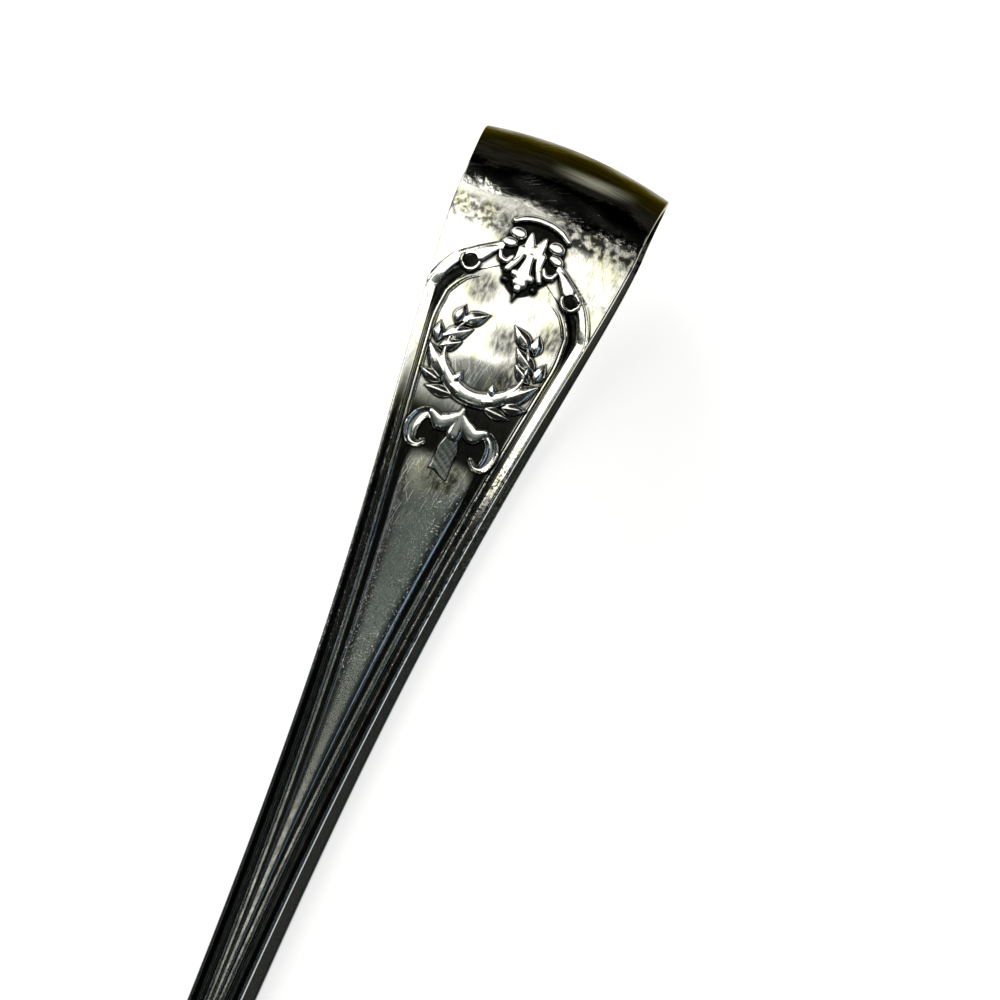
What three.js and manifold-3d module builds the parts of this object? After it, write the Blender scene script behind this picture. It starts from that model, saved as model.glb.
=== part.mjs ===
// Sugar tongs: a plain sprung bow between two tapering arms with reeded borders, ending in claws.
// A leaf, scrolls, a laurel wreath and a ribbon bow are soldered to the outer face of each arm.
// Millimetres, +Z up. The tongs lie on the lower arm, with the bow at +X and +Y across the strip.
import * as THREE from "three";
import { mergeVertices } from "three/addons/utils/BufferGeometryUtils.js";
import Module from "manifold-3d";

const wasm = await Module();
wasm.setup();

// Side profile of the bent strip, measured along the middle of its outer face
const BOW_RADIUS = 9.8;
const SHOULDER_ANGLE = THREE.MathUtils.degToRad(23);
const SHOULDER_LENGTH = 25;
const ARM_LENGTH = 89;
const SEAM_GAP = 0.3;

// Widths across the strip: the arm narrows from its neck to its shank along a bell curve
const BOW_WIDTH = 16.9;
const NECK_WIDTH = 16.2;
const SHANK_WIDTH = 3.4;
const TAPER_LENGTH = 34.8;
const TAPER_POWER = 1.43;

// Thickness, and how far the strip's back is rounded and its inner face is hollowed at the bow
const BOW_THICKNESS = 1.1;
const WRIST_THICKNESS = 1.9;
const CROWN_RISE = 0.9;
const HOLLOW_RISE = 0.55;
const EDGE_BREAK = 0.18;

// Reeded border, from an arm's edge inwards: flat rim, channel, thread, then the sunk field
const RIM_WIDTH = 0.66;
const CHANNEL_WIDTH = 0.57;
const CHANNEL_DEPTH = 0.35;
const THREAD_WIDTH = 0.24;
const THREAD_DROP = 0.08;
const REED_SLOPE = 0.07;
const FIELD_DEPTH = 0.42;
const BORDER_SHARE = 0.75;
const BORDER_FADE = 2.5;

// Long cushion that rises out of the field below the ribbon
const CUSHION_SHARE = 0.6;
const CUSHION_RISE = 0.32;
const CUSHION_FADE = 7;

// Soldered ornament: its seat, and its clearance from the border and from its neighbours
const SEAT_GAP = 0.1;
const ORNAMENT_CLEARANCE = 0.2;

const LEAF_SETBACK = 0.8;
const LEAF_LENGTH = 7.5;
const LEAF_WIDTH = 4.9;
const LEAF_HEIGHT = 0.8;
const LIP_WIDTH = 0.8;

const VOLUTE_STANDOFF = 2.2;
const VOLUTE_DROP = 5.5;
const VOLUTE_RADIUS = 0.95;
const VOLUTE_WIRE = 0.3;
const SCROLL_WIDTH = 1.5;
const SCROLL_HEIGHT = 0.5;
const SCROLL_TAIL = 5.2;
const SCROLL_FADE = 0.4;

const WREATH_DROP = 0.4;
const WREATH_NODES = 6;
const WREATH_OPENING = THREE.MathUtils.degToRad(38);
const LAUREL_LENGTH = 2.5;
const LAUREL_WIDTH = 1.25;
const LAUREL_HEIGHT = 0.55;
const LAUREL_SPLAY = THREE.MathUtils.degToRad(29);
const STEM_WIDTH = 0.6;

const KNOT_RADIUS = 0.7;
const RIBBON_LENGTH = 6;
const RIBBON_WIDTH = 0.95;
const RIBBON_HEIGHT = 0.34;
const TAIL_WIDTH = 2;
const TAIL_NOTCH = 0.7;

// Claws
const PALM_LENGTH = 5.5;
const PALM_WIDTH = 6.2;
const CLAW_LENGTH = 13.5;
const TOE_COUNT = 3;
const TOE_SPREAD = 7.4;
const TOE_THICKNESS = 2;
const TALON_THICKNESS = 0.5;
const CURL_DEPTH = 4.6;

const BORDER_WIDTH = RIM_WIDTH + CHANNEL_WIDTH + THREAD_WIDTH;
const shoulderRadius = SHOULDER_LENGTH / SHOULDER_ANGLE;
const smooth = THREE.MathUtils.smoothstep;
const lerp = THREE.MathUtils.lerp;

// The middle of the strip's outer face, s along from the end of the bow, with its lean from level
function stripAt(s) {
  const lean = SHOULDER_ANGLE * Math.max(0, 1 - s / SHOULDER_LENGTH);
  const straight = Math.max(0, s - SHOULDER_LENGTH);
  const neck = BOW_RADIUS - shoulderRadius;
  return {
    x: neck * Math.sin(SHOULDER_ANGLE) + shoulderRadius * Math.sin(lean) - straight,
    z: neck * Math.cos(SHOULDER_ANGLE) + shoulderRadius * Math.cos(lean),
    lean,
  };
}

function halfWidth(s) {
  const bell = Math.exp(-((Math.max(0, s) / TAPER_LENGTH) ** TAPER_POWER));
  return (SHANK_WIDTH + (NECK_WIDTH - SHANK_WIDTH) * bell) / 2;
}

function thickness(s) {
  return lerp(BOW_THICKNESS, WRIST_THICKNESS, smooth(s, 0, ARM_LENGTH));
}

// The volute's eye stands beside the leaf, towards its lower end, and the border takes over its scroll
const voluteY = LEAF_WIDTH / 2 + VOLUTE_STANDOFF;
const voluteS = LEAF_SETBACK + VOLUTE_DROP;
const scrollEnd = voluteS + SCROLL_TAIL;

// The share of the bow's rounding that is left, and of the border's depth that is reached
function rounding(s) {
  return 1 - smooth(s, 0, SHOULDER_LENGTH);
}

function bordering(s) {
  return smooth(s, scrollEnd - BORDER_FADE, scrollEnd);
}

function panelHalf(s) {
  return halfWidth(s) - BORDER_WIDTH - REED_SLOPE;
}

// Depth of the rim's level, and of the sunk field, below the middle of the outer face
function rimDepth(y, s) {
  return CROWN_RISE * rounding(s) * (y / halfWidth(s)) ** 2;
}

function fieldDepth(y, s) {
  return rimDepth(y, s) + FIELD_DEPTH * bordering(s);
}

// The wreath fills the field below the leaf: its outer reach, centre and ring of stems on the flat
const wreathTop = LEAF_SETBACK + LEAF_LENGTH + WREATH_DROP;
const wreathReach = panelHalf(wreathTop + panelHalf(wreathTop)) - ORNAMENT_CLEARANCE;
const wreathS = wreathTop + wreathReach;
const wreathRing = wreathReach - LAUREL_LENGTH * Math.sin(LAUREL_SPLAY);

// The ribbon's knot hangs under the wreath, and the cushion rises where its tail ends
const knotS = wreathS + wreathRing + STEM_WIDTH / 2 + ORNAMENT_CLEARANCE + KNOT_RADIUS;
const ribbonEnd = knotS + RIBBON_LENGTH;

function cushionRise(s) {
  return CUSHION_RISE * smooth(s, ribbonEnd, ribbonEnd + CUSHION_FADE);
}

// Carries (across, along, outwards) on the flat blank to the bent strip
function bend(point) {
  const { x, z, lean } = stripAt(point.y);
  return new THREE.Vector3(x + point.z * Math.sin(lean), point.x, z + point.z * Math.cos(lean));
}

function flipped(index) {
  const turned = [];
  for (let i = 0; i < index.length; i += 3) {
    turned.push(index[i], index[i + 2], index[i + 1]);
  }
  return turned;
}

function signedVolume(points, index) {
  let total = 0;
  for (let i = 0; i < index.length; i += 3) {
    const [a, b, c] = [points[index[i]], points[index[i + 1]], points[index[i + 2]]];
    total += a.dot(b.clone().cross(c));
  }
  return total / 6;
}

// One closed skin with its faces pointing out
function skin(points, index) {
  const geometry = new THREE.BufferGeometry().setFromPoints(points);
  geometry.setIndex(signedVolume(points, index) < 0 ? flipped(index) : index);
  return geometry;
}

function reshape(geometry, move) {
  const position = geometry.getAttribute("position");
  const points = [];
  for (let i = 0; i < position.count; i++) {
    points.push(move(new THREE.Vector3().fromBufferAttribute(position, i)));
  }
  return skin(points, Array.from(geometry.getIndex().array));
}

function mirrored(geometry) {
  return reshape(geometry, (point) => point.setX(-point.x));
}

// Triangles over a flat ring of points
function face(ring) {
  const normal = new THREE.Vector3();
  ring.forEach((point, i) => normal.add(point.clone().cross(ring[(i + 1) % ring.length])));
  normal.normalize();
  const along = ring[1].clone().sub(ring[0]).normalize();
  const across = normal.clone().cross(along);
  const flat = ring.map((point) => new THREE.Vector2(point.dot(along), point.dot(across)));
  return THREE.ShapeUtils.triangulateShape(flat, []).flat();
}

// Joins rings of points in order and closes both ends; an end ring may be a single point
function loft(rings) {
  const points = rings.flat();
  const index = [];
  let start = 0;
  rings.forEach((ring, r) => {
    const next = rings[r + 1] ?? [];
    for (let k = 0; k < Math.max(ring.length, next.length) && next.length; k++) {
      const [a, b] = [start + (k % ring.length), start + ((k + 1) % ring.length)];
      const far = start + ring.length;
      const [c, d] = [far + (k % next.length), far + ((k + 1) % next.length)];
      if (a !== b) index.push(a, b, c);
      if (c !== d) index.push(b, d, c);
    }
    if (r === 0 && ring.length > 1) index.push(...flipped(face(ring)));
    if (!next.length && ring.length > 1) index.push(...face(ring).map((i) => start + i));
    start += ring.length;
  });
  return skin(points, index);
}

// Sweeps a section of (across, up) points, given by the share of the way, along a flat curve
function sweep(curve, steps, section) {
  const rings = [];
  for (let i = 0; i <= steps; i++) {
    const middle = curve.getPoint(i / steps);
    const way = curve.getTangent(i / steps);
    const place = ([across, up]) =>
      new THREE.Vector3(middle.x - across * way.y, middle.y + across * way.x, up);
    rings.push(section(i / steps).map(place));
  }
  return loft(rings);
}

function strap(width, height) {
  return [
    [width / 2, 0],
    [width * 0.36, height],
    [-width * 0.36, height],
    [-width / 2, 0],
  ];
}

function manifold(geometry) {
  const vertProperties = new Float32Array(geometry.getAttribute("position").array);
  const triVerts = new Uint32Array(geometry.getIndex().array);
  return new wasm.Manifold(new wasm.Mesh({ numProp: 3, vertProperties, triVerts }));
}

function fuse(geometries) {
  const whole = geometries.map(manifold).reduce((a, b) => a.add(b));
  const mesh = whole.getMesh();
  const geometry = new THREE.BufferGeometry();
  geometry.setAttribute("position", new THREE.BufferAttribute(mesh.vertProperties, 3));
  geometry.setIndex(new THREE.BufferAttribute(mesh.triVerts, 1));
  return geometry;
}

// A pointed leaf with a ridge along its middle, on the flat, from its foot to its tip
function blade(foot, heading, length, width, height) {
  const tip = new THREE.Vector2(Math.cos(heading), Math.sin(heading)).multiplyScalar(length).add(foot);
  const middle = new THREE.LineCurve(foot, tip);
  const rows = [0.22, 0.5, 0.8];
  const side = new THREE.Vector2(-Math.sin(heading), Math.cos(heading));
  const rings = rows.map((t) => {
    const centre = middle.getPoint(t);
    const half = (width / 2) * Math.sin(Math.PI * t ** 0.85);
    const left = side.clone().multiplyScalar(half).add(centre);
    const right = side.clone().multiplyScalar(-half).add(centre);
    return [
      new THREE.Vector3(left.x, left.y, 0),
      new THREE.Vector3(centre.x, centre.y, height * Math.sin(Math.PI * t ** 0.7)),
      new THREE.Vector3(right.x, right.y, 0),
    ];
  });
  const end = (point) => [new THREE.Vector3(point.x, point.y, 0)];
  return loft([end(foot), ...rings, end(tip)]);
}

// Points across a strip section, half at a time, from the edge to the middle, as (share, depth)
function reeds(s) {
  const half = halfWidth(s);
  const squeeze = Math.min(1, (BORDER_SHARE * half) / BORDER_WIDTH);
  const rim = half - RIM_WIDTH * squeeze;
  const thread = rim - CHANNEL_WIDTH * squeeze;
  const field = thread - THREAD_WIDTH * squeeze;
  const slope = REED_SLOPE * squeeze;
  const foot = (field - slope) * CUSHION_SHARE;
  const sunk = (depth) => depth * bordering(s);
  const cushion = (share) => [foot * share, sunk(FIELD_DEPTH) - cushionRise(s) * (1 - share * share)];
  return [
    [half - EDGE_BREAK, 0],
    [rim, 0],
    [rim - slope, sunk(CHANNEL_DEPTH)],
    [thread + slope, sunk(CHANNEL_DEPTH)],
    [thread, sunk(THREAD_DROP)],
    [field, sunk(THREAD_DROP)],
    [field - slope, sunk(FIELD_DEPTH)],
    cushion(1),
    cushion(0.75),
    cushion(0.5),
    cushion(0.25),
  ];
}

// Closed section of the strip on the flat blank, outer face first
function armSection(s) {
  const half = halfWidth(s);
  const outer = reeds(s).map(([y, depth]) => [y, rimDepth(y, s) + depth]);
  const middle = [0, FIELD_DEPTH * bordering(s) - cushionRise(s)];
  const inner = (y) => [y, thickness(s) + HOLLOW_RISE * rounding(s) * (y / half) ** 2];
  const edge = [
    [half, rimDepth(half, s) + EDGE_BREAK],
    [half, inner(half)[1] - EDGE_BREAK],
    inner(half - EDGE_BREAK),
    inner(half / 2),
  ];
  const other = (points) => points.map(([y, depth]) => [-y, depth]);
  const ring = [
    ...outer,
    middle,
    ...other(outer).reverse(),
    ...other(edge),
    inner(0),
    ...edge.reverse(),
  ];
  return ring.map(([y, depth]) => bend(new THREE.Vector3(y, s, -depth)));
}

function spaced(from, to, count) {
  return Array.from({ length: count + 1 }, (_, i) => lerp(from, to, i / count));
}

function armGeometry() {
  const shoulder = spaced(SEAM_GAP / 2, SHOULDER_LENGTH, 18);
  const shank = spaced(SHOULDER_LENGTH, ARM_LENGTH, 12).slice(1);
  return loft([...shoulder, ...shank].map(armSection));
}

function bowGeometry() {
  const end = SHOULDER_ANGLE + SEAM_GAP / 2 / BOW_RADIUS;
  const section = (angle) => {
    const share = smooth(Math.min(angle, Math.PI - angle), SHOULDER_ANGLE, Math.PI / 2);
    const half = lerp(NECK_WIDTH, BOW_WIDTH, share) / 2;
    const flank = half - EDGE_BREAK;
    const outer = spaced(flank, -flank, 8).map((y) => [y, CROWN_RISE * (y / half) ** 2]);
    const inner = spaced(-flank, flank, 6).map((y) => [y, BOW_THICKNESS + HOLLOW_RISE * (y / half) ** 2]);
    const top = CROWN_RISE + EDGE_BREAK;
    const bottom = BOW_THICKNESS + HOLLOW_RISE - EDGE_BREAK;
    const ring = [...outer, [-half, top], [-half, bottom], ...inner, [half, bottom], [half, top]];
    return ring.map(([y, depth]) => {
      const radius = BOW_RADIUS - depth;
      return new THREE.Vector3(radius * Math.sin(angle), y, radius * Math.cos(angle));
    });
  };
  return loft(spaced(end, Math.PI - end, 26).map(section));
}

// Seats a flat ornament on the rim's level or in the sunk field, then bends it with the strip
function seated(geometry, depth) {
  return reshape(geometry, ({ x, y, z }) => bend(new THREE.Vector3(x, y, z + SEAT_GAP - depth(x, y))));
}

function flatPoint(y, s) {
  return new THREE.Vector2(y, s);
}

// Acanthus leaf: an arched lip with a middle lobe and curling side lobes below it
function leafGeometry() {
  const top = LEAF_SETBACK + LIP_WIDTH / 2;
  const down = Math.PI / 2;
  const root = LEAF_SETBACK + LIP_WIDTH;
  const lipEnd = LEAF_WIDTH / 2 - LIP_WIDTH / 4;
  const lip = new THREE.QuadraticBezierCurve(
    flatPoint(-lipEnd, top + LIP_WIDTH),
    flatPoint(0, top - LIP_WIDTH),
    flatPoint(lipEnd, top + LIP_WIDTH),
  );
  const reach = LEAF_SETBACK + LEAF_LENGTH - root;
  const lobes = [
    [0, 0, reach, 0.44, 1],
    [0.05, 0.62, 0.55, 0.36, 0.75],
    [0.3, 0.4, 0.48, 0.3, 0.85],
    [0.52, 0.5, 0.3, 0.24, 0.7],
  ].map(([start, turn, long, wide, high], i) => {
    const foot = flatPoint(0, root + start * reach - LIP_WIDTH / 4);
    const length = i ? long * reach : reach + LIP_WIDTH / 4;
    return blade(foot, down - turn, length, wide * LEAF_WIDTH, high * LEAF_HEIGHT);
  });
  const bar = sweep(lip, 8, () => strap(LIP_WIDTH, LEAF_HEIGHT));
  return fuse([bar, ...lobes, ...lobes.slice(1).map(mirrored)]);
}

// C-scroll: a stalk from the leaf, a rolled volute, and a channelled band that runs out to the border
function scrollGeometry() {
  const wire = [
    [-VOLUTE_WIRE, 0],
    [-VOLUTE_WIRE * 0.6, SCROLL_HEIGHT],
    [VOLUTE_WIRE * 0.6, SCROLL_HEIGHT],
    [VOLUTE_WIRE, 0],
    [-VOLUTE_WIRE, 0],
  ];
  const ring = VOLUTE_RADIUS - VOLUTE_WIRE;
  const turned = new THREE.LatheGeometry(wire.map(([r, up]) => new THREE.Vector2(ring + r, up)), 14);
  turned.deleteAttribute("normal");
  turned.deleteAttribute("uv");
  turned.rotateX(Math.PI / 2);
  const eye = new THREE.Vector3(voluteY, voluteS, 0);
  const volute = reshape(mergeVertices(turned), (point) => point.add(eye));

  const tailY = halfWidth(scrollEnd) - SCROLL_WIDTH / 2;
  const band = new THREE.CubicBezierCurve(
    flatPoint(voluteY + ring * 0.5, voluteS - ring * 0.9),
    flatPoint(voluteY + ring * 2.2, voluteS - ring * 0.3),
    flatPoint(tailY, voluteS + SCROLL_TAIL * 0.4),
    flatPoint(tailY, scrollEnd),
  );
  const gutter = (t) => {
    const half = (SCROLL_WIDTH / 2) * lerp(0.4, 1, smooth(t, 0, 0.6));
    const height = SCROLL_HEIGHT * lerp(1, SCROLL_FADE, smooth(t, 0.4, 1));
    return [
      [half, 0],
      [half * 0.85, height],
      [half * 0.55, height],
      [half * 0.35, height * 0.45],
      [-half * 0.35, height * 0.45],
      [-half * 0.55, height],
      [-half * 0.85, height],
      [-half, 0],
    ];
  };
  const stalk = new THREE.QuadraticBezierCurve(
    flatPoint(LEAF_WIDTH / 2 + ORNAMENT_CLEARANCE, voluteS - VOLUTE_RADIUS * 2.2),
    flatPoint(voluteY - VOLUTE_RADIUS, voluteS - VOLUTE_RADIUS * 1.5),
    flatPoint(voluteY - ring * 0.5, voluteS - ring * 0.8),
  );
  return fuse([
    volute,
    sweep(band, 12, gutter),
    sweep(stalk, 5, (t) => strap(lerp(VOLUTE_WIRE, VOLUTE_WIRE * 2, t), SCROLL_HEIGHT)),
  ]);
}

// One half of the wreath: a bent stem that carries pairs of laurel leaves and one leaf at its tip
function sprayGeometry() {
  const last = Math.PI - WREATH_OPENING;
  const at = (angle) => flatPoint(wreathRing * Math.sin(angle), wreathS + wreathRing * Math.cos(angle));
  const first = Math.asin((STEM_WIDTH / 2 + ORNAMENT_CLEARANCE) / wreathRing);
  const stem = new THREE.ArcCurve(0, wreathS, wreathRing, Math.PI / 2 - first, Math.PI / 2 - last, true);
  const pieces = [sweep(stem, 14, (t) => strap(STEM_WIDTH * lerp(1, 0.5, t), LAUREL_HEIGHT * 0.7))];
  const follow = LAUREL_LENGTH / 2 / wreathRing;
  for (let i = 0; i < WREATH_NODES; i++) {
    const angle = lerp(first, last, (i + 0.3) / WREATH_NODES);
    for (const splay of [LAUREL_SPLAY, -LAUREL_SPLAY]) {
      const heading = splay - angle - follow;
      pieces.push(blade(at(angle), heading, LAUREL_LENGTH, LAUREL_WIDTH, LAUREL_HEIGHT));
    }
  }
  const tip = blade(at(last), -last - follow, LAUREL_LENGTH / 2, LAUREL_WIDTH * 0.8, LAUREL_HEIGHT);
  return fuse([...pieces, tip]);
}

// Ribbon bow: a knot under the wreath, two curling loops and a tail that widens to a fork
function ribbonGeometry() {
  const reach = panelHalf(lerp(knotS, ribbonEnd, 0.6)) - ORNAMENT_CLEARANCE - RIBBON_WIDTH / 2;
  const loop = new THREE.SplineCurve([
    flatPoint(0, knotS),
    flatPoint(reach * 0.35, knotS + RIBBON_LENGTH * 0.18),
    flatPoint(reach * 0.72, knotS + RIBBON_LENGTH * 0.14),
    flatPoint(reach, knotS + RIBBON_LENGTH * 0.38),
    flatPoint(reach * 0.8, knotS + RIBBON_LENGTH * 0.6),
    flatPoint(reach * 0.5, knotS + RIBBON_LENGTH * 0.56),
  ]);
  const half = TAIL_WIDTH / 2;
  const outline = new THREE.Shape([
    flatPoint(KNOT_RADIUS * 0.5, knotS),
    flatPoint(half * 0.6, lerp(knotS, ribbonEnd, 0.5)),
    flatPoint(half, ribbonEnd),
    flatPoint(0, ribbonEnd - TAIL_NOTCH),
    flatPoint(-half, ribbonEnd),
    flatPoint(-half * 0.6, lerp(knotS, ribbonEnd, 0.5)),
    flatPoint(-KNOT_RADIUS * 0.5, knotS),
  ]);
  const plate = new THREE.ExtrudeGeometry(outline, { depth: RIBBON_HEIGHT, bevelEnabled: false });
  plate.deleteAttribute("normal");
  plate.deleteAttribute("uv");
  const thinned = ({ x, y, z }) => new THREE.Vector3(x, y, z * lerp(1, 0.5, (y - knotS) / RIBBON_LENGTH));
  const tail = reshape(mergeVertices(plate), thinned);
  const side = sweep(loop, 18, (t) => strap(RIBBON_WIDTH * lerp(1, 0.6, t), RIBBON_HEIGHT));
  const across = new THREE.LineCurve(flatPoint(-KNOT_RADIUS, knotS), flatPoint(KNOT_RADIUS, knotS));
  const bulge = (t) => KNOT_RADIUS * 2 * lerp(0.6, 1, Math.sin(Math.PI * t));
  const knot = sweep(across, 4, (t) => strap(bulge(t), RIBBON_HEIGHT * 1.3));
  return fuse([knot, tail, side, mirrored(side)]);
}

// A round bar along a curve, its radius given by the share of the way, that ends in a point
function horn(curve, steps, sides, radius) {
  const { normals, binormals } = curve.computeFrenetFrames(steps);
  const rings = [];
  for (let i = 0; i < steps; i++) {
    const centre = curve.getPointAt(i / steps);
    const ring = spaced(0, Math.PI * 2, sides).slice(1).map((turn) => {
      const point = normals[i].clone().multiplyScalar(Math.cos(turn) * radius(i / steps));
      return point.addScaledVector(binormals[i], Math.sin(turn) * radius(i / steps)).add(centre);
    });
    rings.push(ring);
  }
  return loft([...rings, [curve.getPointAt(1)]]);
}

// Claw: a spreading palm whose toes curl in to pointed talons
function clawGeometry() {
  const wrist = ARM_LENGTH + SEAT_GAP;
  const sides = 14;
  const palm = spaced(0, 1, 6).map((t) => {
    const spread = smooth(t, 0, 1);
    const half = lerp(halfWidth(ARM_LENGTH), PALM_WIDTH / 2, spread);
    const deep = lerp(WRIST_THICKNESS, TOE_THICKNESS, spread) / 2;
    return spaced(0, Math.PI * 2, sides).slice(1).map((turn) => {
      const [c, n] = [Math.cos(turn), Math.sin(turn)];
      const blunt = (v) => Math.sign(v) * Math.abs(v) ** 0.55;
      return new THREE.Vector3(half * blunt(c), wrist + PALM_LENGTH * t, deep * blunt(n) - deep);
    });
  });
  const toes = spaced(-1, 1, TOE_COUNT - 1).map((side) => {
    const out = (share) => (side * lerp(PALM_WIDTH - TOE_THICKNESS, TOE_SPREAD, share)) / 2;
    const far = wrist + CLAW_LENGTH - (TOE_THICKNESS / 2) * Math.abs(side);
    const route = new THREE.CubicBezierCurve3(
      new THREE.Vector3(out(0), wrist + PALM_LENGTH * 0.7, -TOE_THICKNESS * 0.6),
      new THREE.Vector3(out(0.6), lerp(wrist + PALM_LENGTH, far, 0.5), -TOE_THICKNESS * 0.5),
      new THREE.Vector3(out(1), far + TOE_THICKNESS * 0.3, -TOE_THICKNESS * 0.8),
      new THREE.Vector3(out(1), far - TOE_THICKNESS * 0.4, -CURL_DEPTH),
    );
    const knuckle = (t) => 1 - 0.12 * Math.cos(t * Math.PI * 4);
    const radius = (t) => lerp(TOE_THICKNESS * 0.5, TALON_THICKNESS / 2, smooth(t, 0.25, 1)) * knuckle(t);
    return horn(route, 10, 8, radius);
  });
  return reshape(fuse([loft(palm), ...toes]), bend);
}

function metal(color, roughness) {
  return new THREE.MeshStandardMaterial({ color, roughness, metalness: 1 });
}

function piece(name, geometry, material) {
  const mesh = new THREE.Mesh(geometry, material);
  mesh.name = name;
  return mesh;
}

const polished = { color: 0xb9b8b2, roughness: 0.2 };
const struck = { color: 0x9b9c98, roughness: 0.3 };
const cast = { color: 0xc4c3bc, roughness: 0.26 };

function armGroup(side) {
  const group = new THREE.Group();
  const scroll = scrollGeometry();
  const spray = sprayGeometry();
  const add = (name, geometry, { color, roughness }) =>
    group.add(piece(`${side}_${name}`, geometry, metal(color, roughness)));
  add("arm", armGeometry(), struck);
  add("claw", clawGeometry(), cast);
  add("acanthus_leaf", seated(leafGeometry(), rimDepth), cast);
  add("left_scroll", seated(scroll, rimDepth), cast);
  add("right_scroll", seated(mirrored(scroll), rimDepth), cast);
  add("left_laurel_spray", seated(spray, fieldDepth), cast);
  add("right_laurel_spray", seated(mirrored(spray), fieldDepth), cast);
  add("ribbon_bow", seated(ribbonGeometry(), fieldDepth), cast);
  return group;
}

const tongs = new THREE.Group();
const lower = armGroup("lower");
lower.rotation.x = Math.PI;
tongs.add(piece("bow", bowGeometry(), metal(polished.color, polished.roughness)));
tongs.add(armGroup("upper"), lower);

// The origin is under the middle of the part, on the surface that it lies on
const box = new THREE.Box3().setFromObject(tongs, true);
tongs.position.set(-(box.min.x + box.max.x) / 2, 0, -box.min.z);

export default tongs;
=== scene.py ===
"""Bow sugar tongs in worn silver: the looks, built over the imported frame.

The strip is drawn flat, with y across it, s along its outer face from the end of the bow, and h outwards,
and is then bent to its side profile. Drawings are in metres, with points written in millimetres.
"""
import math

import bmesh
import bpy
import numpy as np
from bpy.props import FloatProperty, FloatVectorProperty, PointerProperty
from mathutils import Matrix, Vector


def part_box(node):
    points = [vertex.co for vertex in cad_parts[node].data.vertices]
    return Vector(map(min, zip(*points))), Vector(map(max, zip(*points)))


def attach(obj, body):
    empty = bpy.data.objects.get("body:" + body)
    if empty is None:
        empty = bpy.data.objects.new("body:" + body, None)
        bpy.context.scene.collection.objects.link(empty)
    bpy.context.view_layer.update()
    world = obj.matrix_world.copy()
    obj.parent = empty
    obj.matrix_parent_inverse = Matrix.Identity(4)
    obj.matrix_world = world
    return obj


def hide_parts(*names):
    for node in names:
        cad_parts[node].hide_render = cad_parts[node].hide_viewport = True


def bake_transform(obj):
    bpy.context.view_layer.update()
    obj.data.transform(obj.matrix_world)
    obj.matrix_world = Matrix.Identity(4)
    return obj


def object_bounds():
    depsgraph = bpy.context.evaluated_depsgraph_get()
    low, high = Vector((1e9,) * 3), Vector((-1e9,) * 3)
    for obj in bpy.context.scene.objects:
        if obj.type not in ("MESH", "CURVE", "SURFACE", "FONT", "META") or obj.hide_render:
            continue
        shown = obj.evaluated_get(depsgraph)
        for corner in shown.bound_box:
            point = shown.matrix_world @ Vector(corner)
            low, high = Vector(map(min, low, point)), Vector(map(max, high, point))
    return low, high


bl_info = {
    "name": "Sugar Tongs",
    "version": (1, 0, 0),
    "blender": (4, 5, 0),
    "location": "View3D > Sidebar > Tongs",
    "description": "Dresses a pair of bow sugar tongs in worn silver",
    "category": "Object",
}

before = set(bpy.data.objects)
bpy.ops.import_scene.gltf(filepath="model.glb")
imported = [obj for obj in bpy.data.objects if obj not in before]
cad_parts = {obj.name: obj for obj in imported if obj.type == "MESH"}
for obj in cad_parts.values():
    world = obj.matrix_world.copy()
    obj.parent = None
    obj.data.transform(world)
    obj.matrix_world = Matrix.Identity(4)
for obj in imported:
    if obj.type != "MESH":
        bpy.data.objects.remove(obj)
CAD_LOW, CAD_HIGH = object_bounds()
BOW_LOW, BOW_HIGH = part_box("bow")
MM = 0.001
SIDES = ("upper", "lower")

# A casting's hands, and which way each is turned across the arm
MIDDLE = {"": 1.0}
HANDS = {"left_": 1.0, "right_": -1.0}


# Settings

def length(name, description, millimetres):
    return FloatProperty(
        name=name, description=description, default=millimetres * MM, min=0.0, precision=5, unit="LENGTH"
    )


def number(name, description, default):
    return FloatProperty(name=name, description=description, default=default, min=0.0)


def share(name, description, default):
    return FloatProperty(
        name=name, description=description, default=default, min=0.0, max=1.0, subtype="FACTOR"
    )


def angle(name, description, degrees):
    return FloatProperty(
        name=name, description=description, default=math.radians(degrees), subtype="ANGLE"
    )


def power(name, description, watts):
    return FloatProperty(name=name, description=description, default=watts, min=0.0, unit="POWER")


def colour(name, description, default):
    return FloatVectorProperty(
        name=name, description=description, default=default, size=3, min=0.0, max=1.0, subtype="COLOR"
    )


class TongsStrip(bpy.types.PropertyGroup):
    """The bent strip that the bow and the arms are made of"""

    bow_radius: length("Bow radius", "Radius of the bow's outer face in side view", 9.8)
    shoulder_angle: angle("Shoulder angle", "Lean of the strip where the bow ends", 23)
    shoulder_length: length("Shoulder length", "Length over which an arm turns level", 25)
    arm_length: length("Arm length", "From the end of the bow to the wrist", 89)
    bow_width: length("Bow width", "Width across the crown of the bow", (BOW_HIGH.y - BOW_LOW.y) / MM)
    neck_width: length("Neck width", "Width where the bow ends", 16.2)
    shank_width: length("Shank width", "Width that the taper runs out to", 3.4)
    taper_length: length("Taper length", "Length scale of the bell-shaped taper", 34.8)
    taper_power: number("Taper power", "How squarely the taper leaves the neck", 1.43)
    bow_thickness: length("Bow thickness", "Thickness in the middle of the bow", 1.1)
    wrist_thickness: length("Wrist thickness", "Thickness at the wrist", 1.9)
    crown_rise: length("Crown rise", "How far the bow's back is rounded across", 0.9)
    hollow_rise: length("Hollow rise", "How far the bow's inner face is hollowed", 0.55)
    edge_round: length("Edge round", "Radius of the strip's long edges", 0.18)


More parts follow.
